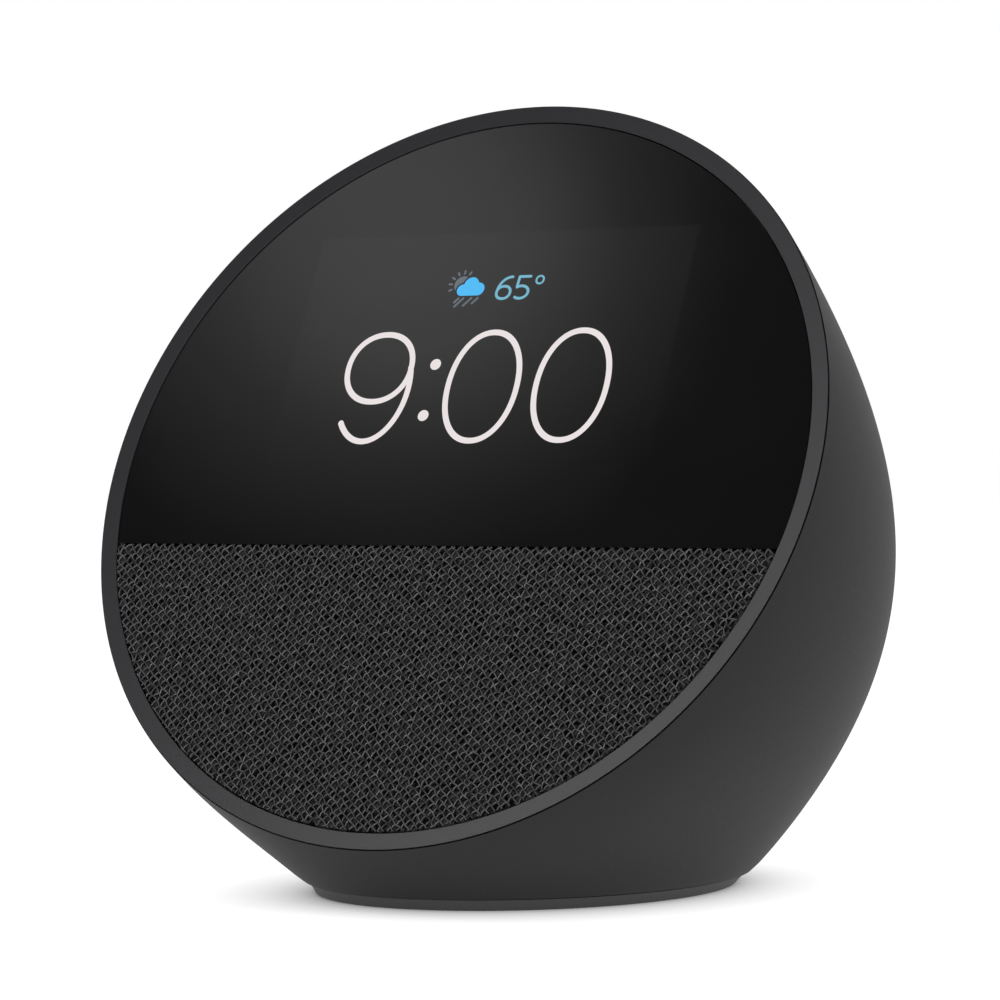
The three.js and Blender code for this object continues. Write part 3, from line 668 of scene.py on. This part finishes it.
def segment_outline(radius, line_y, above, inset, steps=180):
    """The disc's part above or below a straight line, drawn inset from its edge."""
    radius = radius - inset
    line_y = line_y + (inset if above else -inset)
    start = math.asin(line_y / radius)
    end = math.pi - start if above else -math.pi - start
    angle = np.linspace(start, end, steps)
    return np.stack([radius * np.cos(angle), radius * np.sin(angle)], -1)


def make_cover_glass():
    line = SPLIT_Y + GAP / 2
    edge = 0.03
    rows = []
    heights = [(0.35, GLASS_BOTTOM), (0.0, GLASS_BOTTOM + 0.25), (0.0, GLASS_TOP - edge), (edge, GLASS_TOP)]
    for inset, height in heights:
        outline = segment_outline(LENS_RADIUS, line, True, inset)
        rows.append(moved(np.column_stack([outline, np.full(len(outline), height)]), FACE))
    glass = wrapped("display_glass", rows, closed=False, smooth_angle=20)
    return finish_as(glass, "cover_glass", replaces=["cover_glass"])


def oval_row(half_width, half_length, y, z):
    return np.stack([
        half_width * np.cos(TURNS), y + half_length * np.sin(TURNS), np.full(COLUMNS, float(z)),
    ], -1)


def make_foot():
    """The rubber foot, pressed up against the housing by the weight. Its side draws in towards the floor."""
    foot_top = BASE_Z - FOOT_SEAM
    rows = [
        oval_row(FOOT_TOP_HALF_WIDTH, FOOT_TOP_HALF_LENGTH, FOOT_TOP_Y, foot_top),
        oval_row(FOOT_HALF_WIDTH, FOOT_HALF_LENGTH, FOOT_Y, 0),
        oval_row(FOOT_INNER_WIDTH, FOOT_INNER_LENGTH, FOOT_Y, 0),
        oval_row(FOOT_INNER_WIDTH, FOOT_INNER_LENGTH, FOOT_Y, foot_top),
    ]
    foot = wrapped("rubber_foot", rounded_rows(rows, [0.12, 0.35, 0.35, 0.12]))
    return finish_as(foot, "foot_rubber", replaces=["foot_ring"])


make_bezel_ring()
make_cover_glass()
make_foot()


# ---- Speaker cloth -----------------------------------------------------------

CLOTH_LINE = SPLIT_Y - GAP / 2
CLOTH_MIDDLE_Y = (CLOTH_LINE - LENS_RADIUS) / 2
LINING_TOP = -0.42
# A yarn runs along each diagonal of a lattice of crossings.
CELL_WIDTH, CELL_HEIGHT = 1.45, 1.25
YARN_HALF_WIDTH, YARN_HALF_HEIGHT = 0.15, 0.12
YARN_SWAY = 0.09
SWAY_X, SWAY_Y = 0.65, -0.76
# A yarn rides at LEVEL + WAVE * cos(phase) crimps above the middle.
CRIMP = 0.12
YARN_MIDDLE = -0.1
FALLING_LEVEL, FALLING_WAVE = 0.3, 0.3
RISING_LEVEL, RISING_WAVE = 0.35, -0.65
STEPS_PER_CROSSING = 4
YARN_SIDES = 6
# The yarns' ends reach out to the cloth's edge and tuck down over the last stretch.
DISC_INSET, LINE_REACH, NEARBY = 0.05, 0.1, 2.0
END_REACH, TUCK_LENGTH, TUCK_DEPTH = 0.3, 0.25, 0.1


def make_lining():
    """The thin backing that the yarns lie on, stretched over the grille plate."""
    rows = []
    for inset, height in [(0.25, -CLOTH_THICKNESS), (0.05, -CLOTH_THICKNESS + 0.06), (0.05, LINING_TOP)]:
        outline = segment_outline(LENS_RADIUS, CLOTH_LINE, False, inset)
        rows.append(moved(np.column_stack([outline, np.full(len(outline), height)]), FACE))
    return wrapped("speaker_cloth", rows, closed=False)


LATTICE = 160
MIDDLE = LATTICE // 2
NODE_I, NODE_J = np.meshgrid(np.arange(LATTICE) - MIDDLE, np.arange(LATTICE) - MIDDLE, indexing="ij")
DRIFT = 0.09


def lattice_noise(seed):
    """Random numbers on the crossings that differ from their neighbours but even out over a few of them."""
    values = np.random.default_rng(seed).normal(size=(LATTICE, LATTICE))
    for _ in range(2):
        neighbours = sum(np.roll(values, step, axis) for axis in (0, 1) for step in (1, -1)) / 4
        values = values - 0.6 * neighbours
    return values / values.std()


CROSSINGS = np.stack([
    (NODE_I + NODE_J) * CELL_WIDTH / 2 + DRIFT * lattice_noise(11),
    (NODE_I - NODE_J) * CELL_HEIGHT / 2 + DRIFT * lattice_noise(12) + CLOTH_MIDDLE_Y,
], -1)
# Each stretch's own tone, which also sets how bright its painted crest highlight is.
TONE = 0.75 + 0.15 * lattice_noise(21)
SWELL = 1 + 0.13 * lattice_noise(31)


def edge_distance(points):
    """How far inside the cloth's outline each point is."""
    inside_disc = LENS_RADIUS - DISC_INSET - np.linalg.norm(points, axis=-1)
    return np.minimum(inside_disc, CLOTH_LINE + LINE_REACH - points[:, 1])


def spline(values, steps):
    """Catmull-Rom samples through rows of values."""
    padded = np.concatenate([values[:1], values, values[-1:]])
    a, b, c, d = padded[:-3], padded[1:-2], padded[2:-1], padded[3:]
    t = (np.arange(steps) / steps)[None, :, None]
    a, b, c, d = (x[:, None, :] for x in (a, b, c, d))
    out = 0.5 * (2 * b + (c - a) * t + (2 * a - 5 * b + 4 * c - d) * t**2 + (3 * b - a - 3 * c + d) * t**3)
    return np.concatenate([out.reshape(-1, values.shape[1]), values[-1:]])


def tube_points(path, half_width, half_height, sides):
    """Rings of an oval tube that follows a path lying nearly flat in the face."""
    ahead = np.gradient(path, axis=0)
    ahead /= np.linalg.norm(ahead, axis=1, keepdims=True)
    side = np.cross(ahead, [0.0, 0.0, 1.0])
    side /= np.linalg.norm(side, axis=1, keepdims=True)
    up = np.cross(side, ahead)
    angle = (np.arange(sides) + 0.5) * 2 * math.pi / sides
    wide = np.reshape(half_width, (-1, 1, 1)) * np.cos(angle)[None, :, None] * side[:, None, :]
    tall = np.reshape(half_height, (-1, 1, 1)) * np.sin(angle)[None, :, None] * up[:, None, :]
    return path[:, None, :] + wide + tall


def yarn_run(crossings, falling):
    """One yarn's path, tone and thickness, cut off at the cloth's edge, from rows of x, y, tone, swell."""
    near = np.nonzero(edge_distance(crossings[:, :2]) > -NEARBY)[0]
    if len(near) < 2:
        return None
    data = spline(crossings[near[0]:near[-1] + 1], STEPS_PER_CROSSING)
    phase = 2 * math.pi * np.arange(len(data)) / STEPS_PER_CROSSING
    if falling:
        lift = FALLING_LEVEL + FALLING_WAVE * np.cos(phase)
    else:
        lift = RISING_LEVEL + RISING_WAVE * np.cos(phase)
        data[:, 0] += YARN_SWAY * SWAY_X * np.sin(phase)
        data[:, 1] += YARN_SWAY * SWAY_Y * np.sin(phase)
    depth = edge_distance(data[:, :2])
    kept = np.nonzero(depth > 0)[0]
    if len(kept) < 4:
        return None
    span = slice(kept[0], kept[-1] + 1)
    data, depth, lift = data[span].copy(), depth[span], lift[span]
    for end, inner in ((0, 1), (-1, -2)):
        step = data[end, :2] - data[inner, :2]
        data[end, :2] += step / np.linalg.norm(step) * min(depth[end], END_REACH)
    tuck = np.clip(1 - depth / TUCK_LENGTH, 0, 1) ** 2
    height = YARN_MIDDLE + CRIMP * lift - TUCK_DEPTH * tuck
    return np.column_stack([data[:, :2], height]), data[:, 2], data[:, 3]


def yarn_family(name, falling, material):
    """All yarns of one diagonal. The falling ones lie on top, and the rising ones sway between them."""
    lattice = np.dstack([CROSSINGS, TONE, SWELL])
    if falling:
        lattice = lattice.transpose(1, 0, 2)
    vertices, faces, highlight_tones, count = [], [], [], 0
    for line in range(LATTICE):
        run = yarn_run(lattice[:, line], falling)
        if run is None:
            continue
        path, tone, swell = run
        rings = tube_points(path, YARN_HALF_WIDTH * swell, YARN_HALF_HEIGHT * swell, YARN_SIDES)
        vertices.append(moved(rings.reshape(-1, 3), FACE))
        # Only the top row of each tube, which faces out of the face, gets a tone: it carries the painted
        # highlight.
        crest_highlight = np.tile(np.arange(YARN_SIDES) == 1, len(path))
        highlight_tones.append(np.repeat(tone, YARN_SIDES) * crest_highlight)
        faces += [[count + i for i in face] for face in capped_faces(len(path), YARN_SIDES)]
        count += len(path) * YARN_SIDES
    obj = make_object(name, np.concatenate(vertices), faces, 80)
    attribute = obj.data.attributes.new("tone", "FLOAT", "POINT")
    attribute.data.foreach_set("value", np.clip(np.concatenate(highlight_tones), 0, 1).astype(np.float32))
    return finish_as(obj, "speaker_cloth", material=material)


def make_cloth():
    lining = finish_as(make_lining(), "speaker_cloth", replaces=["speaker_fabric"])
    yarns = [
        yarn_family("cloth_yarns_rising", False, YARN_ONE),
        yarn_family("cloth_yarns_falling", True, YARN_TWO),
    ]


make_cloth()


# ---- What the screen shows ---------------------------------------------------

LIT_TOP, LIT_THICKNESS = 0.012, 0.05
PICTURE = frame_matrix(
    moved([(-0.19, 0.14, GLASS_TOP)], FACE)[0], FACE[:3, 0], FACE[:3, 1], FACE[:3, 2],
)


def flat_body(name, outlines, matrix, top, thickness, material, slot, body="case"):
    """Thin flat bodies, one between each pair of edges. An outline is (left edge, right edge, closed)."""
    vertices, faces, count = [], [], 0
    for left, right, closed in outlines:
        n = len(left)
        for height in (top, top - thickness):
            for edge in (left, right):
                vertices.append(np.column_stack([edge, np.full(n, height)]))
        a, b, c, d = (count + k * n for k in range(4))
        spans = n if closed else n - 1
        for i in range(spans):
            j = (i + 1) % n
            faces.append([a + i, a + j, b + j, b + i])
            faces.append([c + i, d + i, d + j, c + j])
            faces.append([a + i, c + i, c + j, a + j])
            faces.append([b + i, b + j, d + j, d + i])
        if not closed:
            faces.append([a, b, d, c])
            faces.append([a + n - 1, c + n - 1, d + n - 1, b + n - 1])
        count += 4 * n
    obj = make_object(name, moved(np.concatenate(vertices), matrix), faces, 30)
    bmesh_clean(obj)
    return finish_as(obj, slot, body, material=material)


def bmesh_clean(obj):
    work = bmesh.new()
    work.from_mesh(obj.data)
    bmesh.ops.remove_doubles(work, verts=work.verts, dist=1e-7)
    bmesh.ops.dissolve_degenerate(work, edges=work.edges, dist=1e-7)
    bmesh.ops.recalc_face_normals(work, faces=work.faces)
    work.to_mesh(obj.data)
    work.free()
    shade(obj, 30)


def stroke(path, width, closed=False):
    """The two edges of a pen stroke with round ends."""
    path = np.asarray(path, float)
    half = width / 2
    if closed:
        ahead = np.roll(path, -1, 0) - np.roll(path, 1, 0)
    else:
        ahead = np.gradient(path, axis=0)
    ahead /= np.linalg.norm(ahead, axis=1, keepdims=True)
    side = np.column_stack([-ahead[:, 1], ahead[:, 0]]) * half
    left, right = path + side, path - side
    if not closed:
        swing = np.radians(np.linspace(88, 12, 7))

        def cap(point, out, across):
            reach = np.sin(swing)[:, None] * half * out
            spread = np.cos(swing)[:, None] * across
            return point + reach + spread, point + reach - spread

        start_left, start_right = cap(path[0], -ahead[0], side[0])
        end_left, end_right = cap(path[-1], ahead[-1], side[-1])
        left = np.concatenate([start_left, left, end_left[::-1]])
        right = np.concatenate([start_right, right, end_right[::-1]])
    return left, right, closed


def arc(centre, half_width, half_height, start, end, steps=48):
    angle = np.radians(np.linspace(start, end, steps))
    return np.column_stack([centre[0] + half_width * np.cos(angle), centre[1] + half_height * np.sin(angle)])


def loop(centre, half_width, half_height, steps=96, fullness=1.06):
    """A closed numeral loop, a little squarer than an ellipse."""
    angle = around(steps)
    c, s = np.cos(angle), np.sin(angle)
    power = 1 / fullness
    return np.column_stack([
        centre[0] + half_width * np.sign(c) * np.abs(c) ** power,
        centre[1] + half_height * np.sign(s) * np.abs(s) ** power,
    ])


def disc(centre, radius, steps=24):
    """A filled dot as a strip of chords."""
    angle = np.radians(np.linspace(3, 177, steps))
    rise = radius * np.sin(angle)
    run = centre[0] + radius * np.cos(angle)
    return np.column_stack([run, centre[1] + rise]), np.column_stack([run, centre[1] - rise]), False


NUMERAL_HALF_WIDTH, NUMERAL_HALF_HEIGHT = 5.55, 8.36
NUMERAL_Y = 11.97
NUMERAL_STROKE = 0.88
NINE_X, COLON_X, ZERO_XS = -15.35, -6.25, (2.17, 16.3)


def make_clock():
    """The time 9:00 in thin rounded numerals."""
    bowl_height = 0.63 * NUMERAL_HALF_HEIGHT
    bowl_centre = (NINE_X, NUMERAL_Y + NUMERAL_HALF_HEIGHT - bowl_height)
    outlines = [
        stroke(loop(bowl_centre, 0.94 * NUMERAL_HALF_WIDTH, bowl_height), NUMERAL_STROKE, True),
        stroke(
            arc((NINE_X, NUMERAL_Y), NUMERAL_HALF_WIDTH, NUMERAL_HALF_HEIGHT, 22, -139),
            NUMERAL_STROKE,
        ),
    ]
    for x in ZERO_XS:
        outlines.append(stroke(
            loop((x, NUMERAL_Y), NUMERAL_HALF_WIDTH, NUMERAL_HALF_HEIGHT), NUMERAL_STROKE, True,
        ))
    for rise in (-3.97, 3.97):
        outlines.append(disc((COLON_X, NUMERAL_Y - 0.45 + rise), 0.85))
    return flat_body("clock_numerals", outlines, PICTURE, LIT_TOP, LIT_THICKNESS, CLOCK_LIGHT, "screen")


CLOUD = [((-4.8, 27.15), 0.92), ((-3.55, 27.95), 1.2), ((-2.3, 27.25), 1.02)]
CLOUD_FLOOR = 26.25
CLOUD_MIDDLE = (-3.55, 27.2)
SUN_MIDDLE, SUN_RADIUS = (-5.0, 28.0), 1.36


def cloud_reach(origin, angle, grow=0.0):
    """How far the cloud extends from a point inside it, in one direction."""
    direction = np.array([math.cos(angle), math.sin(angle)])
    reach = 0.0
    for centre, radius in CLOUD:
        to_centre = np.array(centre) - origin
        along = to_centre @ direction
        inside = (radius + grow) ** 2 - (to_centre @ to_centre - along**2)
        if inside > 0:
            reach = max(reach, along + math.sqrt(inside))
    if direction[1] < 0:
        to_floor = (CLOUD_FLOOR - grow - origin[1]) / direction[1]
        across = origin[0] + to_floor * direction[0]
        if CLOUD[0][0][0] < across < CLOUD[-1][0][0]:
            return to_floor
        reach = min(reach, to_floor)
    return reach


def make_weather():
    """A cloud over a sun with rain under it, and a temperature beside it."""
    middle = np.array(CLOUD_MIDDLE)
    angles = np.radians(np.arange(0, 360, 5))
    rim = np.array([middle + cloud_reach(middle, a) * np.array([math.cos(a), math.sin(a)]) for a in angles])
    core = middle + (rim - middle) * 0.02
    cloud = [(rim, core, True)]
    flat_body("weather_cloud", cloud, PICTURE, LIT_TOP, LIT_THICKNESS, SKY_LIGHT, "screen")

    sun = np.array(SUN_MIDDLE)
    inner, outer = [], []
    for a in np.radians(np.linspace(62, 232, 40)):
        direction = np.array([math.cos(a), math.sin(a)])
        near = cloud_reach(sun, a, 0.28)
        if near < SUN_RADIUS - 0.04:
            inner.append(sun + near * direction)
            outer.append(sun + SUN_RADIUS * direction)
    dim = [(np.array(outer), np.array(inner), False)]
    for ray in range(6):
        a = math.radians(64 + 28 * ray)
        direction = np.array([math.cos(a), math.sin(a)])
        dim.append(stroke([sun + 1.78 * direction, sun + 2.0 * direction, sun + 2.2 * direction], 0.3))
    for x, long in ((-5.15, 0.85), (-4.35, 1.75), (-3.05, 1.6), (-2.0, 1.15)):
        fall = np.array([-0.68, -0.73]) * long
        top = np.array([x, 25.85])
        dim.append(stroke([top, top + fall / 2, top + fall], 0.32))
    flat_body("weather_sun_and_rain", dim, PICTURE, LIT_TOP, LIT_THICKNESS, DIM_LIGHT, "screen")

    pen = 0.42
    six = [
        stroke(loop((1.95, 26.6), 1.1, 0.98, 48), pen, True),
        stroke(arc((2.95, 26.65), 2.08, 2.38, 90, 176), pen),
    ]
    five = [
        stroke(np.linspace((4.08, 29.03), (5.85, 29.03), 4), pen),
        stroke(np.linspace((4.08, 29.03), (3.98, 27.5), 4), pen),
        stroke(arc((4.72, 26.58), 1.22, 0.98, 126, -128), pen),
    ]
    degree = [stroke(loop((7.45, 28.45), 0.58, 0.6, 40), 0.3, True)]
    text = six + five + degree
    flat_body("temperature_numerals", text, PICTURE, LIT_TOP, LIT_THICKNESS, WEATHER_LIGHT, "screen")


make_clock()
make_weather()


# ---- Buttons -----------------------------------------------------------------

CAP_SIDES, CAP_EASE, CAP_DISH, STEM_RADIUS = 64, 0.45, 0.16, 1.5
FLANGE_REACH, FLANGE_THICKNESS, STEM_STUB = 1.1, 0.8, 0.8
MARK_THICKNESS, MARK_PROUD = 0.03, 0.015


def cap_height(x, y):
    return SURFACE.height(CROWN, x, y) + BUTTON_PROUD


def dish(share):
    """How deep the cap's dish is at a share of its flat radius."""
    return CAP_DISH * (1 - np.clip(share, 0, 1) ** 2) ** 2


def make_button(name, x):
    """A cap that follows the housing's surface, with a shallow dish and a rounded edge."""
    flat_radius = BUTTON_RADIUS - CAP_EASE
    drops = [(share * flat_radius, dish(share)) for share in (0.02, 0.2, 0.4, 0.6, 0.75, 0.88, 1.0)]
    for swing in np.radians([22, 45, 68, 90]):
        drops.append((flat_radius + CAP_EASE * math.sin(swing), CAP_EASE * (1 - math.cos(swing))))
    rows = []
    for r, drop in drops:
        row = circle_row(r, 0, CAP_SIDES, x)
        row[:, 2] = [cap_height(px, py) - drop for px, py, _ in row]
        rows.append(row)
    flange_radius, flange_back = BUTTON_RADIUS + FLANGE_REACH, BUTTON_FLANGE - FLANGE_THICKNESS
    for r, z in (
        (BUTTON_RADIUS, BUTTON_FLANGE), (flange_radius, BUTTON_FLANGE), (flange_radius, flange_back),
        (STEM_RADIUS, flange_back), (STEM_RADIUS, flange_back - STEM_STUB),
    ):
        rows.append(circle_row(r, z, CAP_SIDES, x))
    cap = wrapped(f"{name}_cap", [moved(row, CROWN) for row in rows], closed=False, smooth_angle=45)
    return finish_as(cap, "button_plastic", name, replaces=[f"{name}_button"])


def make_mark(name, centre_x, outlines):
    """A symbol printed on the cap, following its surface."""
    obj = flat_body(
        f"{name}_mark", outlines, np.eye(4), 0.0, MARK_THICKNESS, MARK_INK, "button_plastic", name,
    )
    points = np.array([v.co for v in obj.data.vertices]) / MM
    share = np.hypot(points[:, 0] - centre_x, points[:, 1]) / (BUTTON_RADIUS - CAP_EASE)
    lift = np.array([cap_height(px, py) for px, py in points[:, :2]])
    points[:, 2] += lift - dish(share) + MARK_PROUD
    points = moved(points, CROWN) * MM
    obj.data.vertices.foreach_set("co", points.ravel())
    obj.data.update()
    return obj


def line_between(start, end, width, steps=6):
    return stroke(np.linspace(start, end, steps), width)


def make_buttons():
    # Plus is on the right of a user who faces the screen.
    pen = 0.32
    arm = 1.35
    left, right = -BUTTON_SPACING, BUTTON_SPACING
    marks = {
        "volume_down": [line_between((left - arm, 0), (left + arm, 0), pen)],
        "mic_mute": [
            stroke(loop((0, 0), 1.4, 1.4, 64, 1.0), pen, True),
            line_between((-0.76, 0.76), (0.76, -0.76), pen),
        ],
        "volume_up": [
            line_between((right - arm, 0), (right - pen / 2, 0), pen),
            line_between((right + pen / 2, 0), (right + arm, 0), pen),
            line_between((right, -arm), (right, arm), pen, 9),
        ],
    }
    for name, x in (("volume_down", left), ("mic_mute", 0.0), ("volume_up", right)):
        make_button(name, x)
        make_mark(name, x, marks[name])


make_buttons()


# ---- Power inlet -------------------------------------------------------------

def make_inlet():
    """The barrel socket at the bottom of its recess, and the pin in it."""
    low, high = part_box("dc_jack")
    half_width = (high.x - low.x) / 2 / MM
    bottom, top = low.z / MM, high.z / MM
    length = (high.y - low.y) / MM
    bore, bore_depth, ease = 3.2, 10.0, 0.35

    def turned_rows(profile):
        return [moved(circle_row(r, z, 64), INLET) for r, z in profile]

    body = wrapped("jack_body", [
        moved(np.array([
            (sx * (half_width - inset), (bottom if sz < 0 else top) - sz * inset - INLET_Z, z)
            for sx, sz in ((-1, -1), (1, -1), (1, 1), (-1, 1))
        ]), INLET)
        for inset, z in ((0.3, -length), (0, -length + 0.3), (0, -0.3), (0.3, 0))
    ], closed=False)
    mouth = bore + ease
    bore_rows = turned_rows(
        [(bore, -bore_depth), (bore, -ease), (bore + ease * 0.3, -ease * 0.3), (mouth, 0), (mouth, 1)],
    )
    cut_with(body, [wrapped("tool", bore_rows, closed=False)])
    shade(body, 30)
    finish_as(body, "black_plastic", replaces=["dc_jack"])

    pin_low, pin_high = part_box("jack_pin")
    front, back = pin_high.y / MM - INLET_FACE, pin_low.y / MM - INLET_FACE
    pin_rows = turned_rows([
        (0.9, back), (1.0, back + 0.1), (1.0, front - 0.5),
        (0.92, front - 0.2), (0.7, front - 0.04), (0.45, front),
    ])
    pin = wrapped("contact_pin", pin_rows, closed=False)
    finish_as(pin, "brass", replaces=["jack_pin"])


make_inlet()


# ---- Materials of the nodes that stay as they are ----------------------------

def dress_nodes():
    for name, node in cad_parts.items():
        slot = node.data.materials[0].name
        node.data.materials.clear()
        node.data.materials.append(MATERIALS[slot])


dress_nodes()


# ---- Camera, floor and light -------------------------------------------------

def make_camera():
    """A long lens at the height of the object's middle, to its right and level."""
    azimuth, distance, height = math.radians(31.045), 536.3, 56.4
    heading, pitch = math.radians(30.307), math.radians(-0.160)
    data = bpy.data.cameras.new("camera")
    data.sensor_width = 36.0
    data.lens = 140.39
    camera = bpy.data.objects.new("camera", data)
    bpy.context.scene.collection.objects.link(camera)
    camera.location = Vector((
        distance * math.sin(azimuth), FACE_Y - distance * math.cos(azimuth), height,
    )) * MM
    forward = Vector((
        -math.sin(heading) * math.cos(pitch), math.cos(heading) * math.cos(pitch), math.sin(pitch),
    ))
    camera.rotation_mode = "QUATERNION"
    camera.rotation_quaternion = forward.to_track_quat("-Z", "Y")
    data.clip_start, data.clip_end = 0.02, 100
    bpy.context.scene.camera = camera


# How much of the floor's glow the camera sees at the foot's edge: the drop there paints the contact shadow.
FLOOR_GLOW, FLOOR_GLOW_IN_PAINTED_SHADOW, FLOOR_BOUNCE_GLOW, FLOOR_WHITE_AT = 1.1, 0.09, 0.32, 1.65
# Patches of the tent: centre, degrees from it where the patch is full and where it ends, strength.
PATCHES = [
    ((-0.5, -0.56, 0.66), 32, 46, -1.0),
    ((0.85, 0.52, 0.0), 15, 58, -0.6),
    ((-0.95, -0.3, 0.0), 10, 45, 0.45),
    ((0.1, 0.5, 1.0), 10, 50, 0.7),
    ((-0.756, -0.717, 1.0), 0, 3.2, 0.55),
    ((-0.765, -0.705, 1.0), 0, 5.7, 0.48),
    ((-0.8, -0.345, 1.0), 4, 13, 5.0),
]


def make_floor():
    """A pale round floor that runs out into the white surroundings, with a painted contact shadow round the
    foot.
    """
    rings, sides, reach = 24, 96, 12.0
    rows = [circle_row(r, 0, sides) for r in np.geomspace(0.01, reach, rings)]
    faces = wrapped_faces(rings, sides, False) + [list(range(sides))]
    mesh = bpy.data.meshes.new("floor")
    mesh.from_pydata(np.concatenate(rows).tolist(), [], faces)
    floor = bpy.data.objects.new("floor", mesh)
    bpy.context.scene.collection.objects.link(floor)
    recipe = Recipe("floor_white")
    # Distance from the foot's middle, in foot radii.
    spread = recipe.mapped(
        (1 / (FOOT_HALF_WIDTH * MM), 1 / (FOOT_HALF_LENGTH * MM), 0),
        (0, -FOOT_Y / FOOT_HALF_LENGTH, 0),
    )
    radius = recipe.node("VectorMath", {0: spread}, "Value", operation="LENGTH")
    away = recipe.maths("SQRT", recipe.ranged(radius, 0, 1, 1, FLOOR_WHITE_AT))
    # The floor lights the object more evenly than it looks to the camera: near the foot the camera sees its
    # glow drop, a painted contact shadow over the real shadow in its diffuse part.
    share = recipe.node("Mix", {
        "Factor": recipe.node("LightPath", {}, "Is Camera Ray"),
        "A": recipe.ranged(away, FLOOR_BOUNCE_GLOW, 1),
        "B": recipe.ranged(away, FLOOR_GLOW_IN_PAINTED_SHADOW, 1),
    }, "Result")
    glow = recipe.node("Emission", {"Strength": FLOOR_GLOW})
    white = {"Base Color": (0.95, 0.95, 0.95, 1), "Roughness": 0.9, "Specular IOR Level": 0.0}
    mesh.materials.append(recipe.surface(white))
    mix = recipe.node("MixShader", {0: share, 1: recipe.shader.outputs[0], 2: glow})
    recipe.fill(recipe.output, {"Surface": mix})


def make_world():
    """A white tent with darker and lighter patches."""
    world = bpy.data.worlds.new("studio")
    bpy.context.scene.world = world
    graph = Graph(world)
    direction = graph.node("TexCoord", {}, "Generated")

    def lobe(centre, inner, outer, strength):
        """A round patch of light or dark, full within inner degrees of its centre and gone at outer."""
        pair = {0: direction, 1: Vector(centre).normalized()}
        nearness = graph.node("VectorMath", pair, "Value", operation="DOT_PRODUCT")
        edge, full = math.cos(math.radians(outer)), math.cos(math.radians(inner))
        return graph.ranged(nearness, 0, strength, edge, full, interpolation_type="SMOOTHSTEP")

    total = lobe(*PATCHES[0])
    for patch in PATCHES[1:]:
        total = graph.maths("ADD", total, lobe(*patch))
    # The patches light the object, but the tent itself looks plain white.
    strength = graph.node("Mix", {
        "Factor": graph.node("LightPath", {}, "Is Camera Ray"),
        "A": graph.maths("ADD", 1.0, total),
        "B": 1.0,
    }, "Result")
    background = graph.node("Background", {"Color": (1, 1, 1, 1), "Strength": strength})
    graph.fill(graph.nodes.new("ShaderNodeOutputWorld"), {"Surface": background})


make_camera()
make_floor()
make_world()
bpy.context.scene.view_settings.view_transform = "Standard"
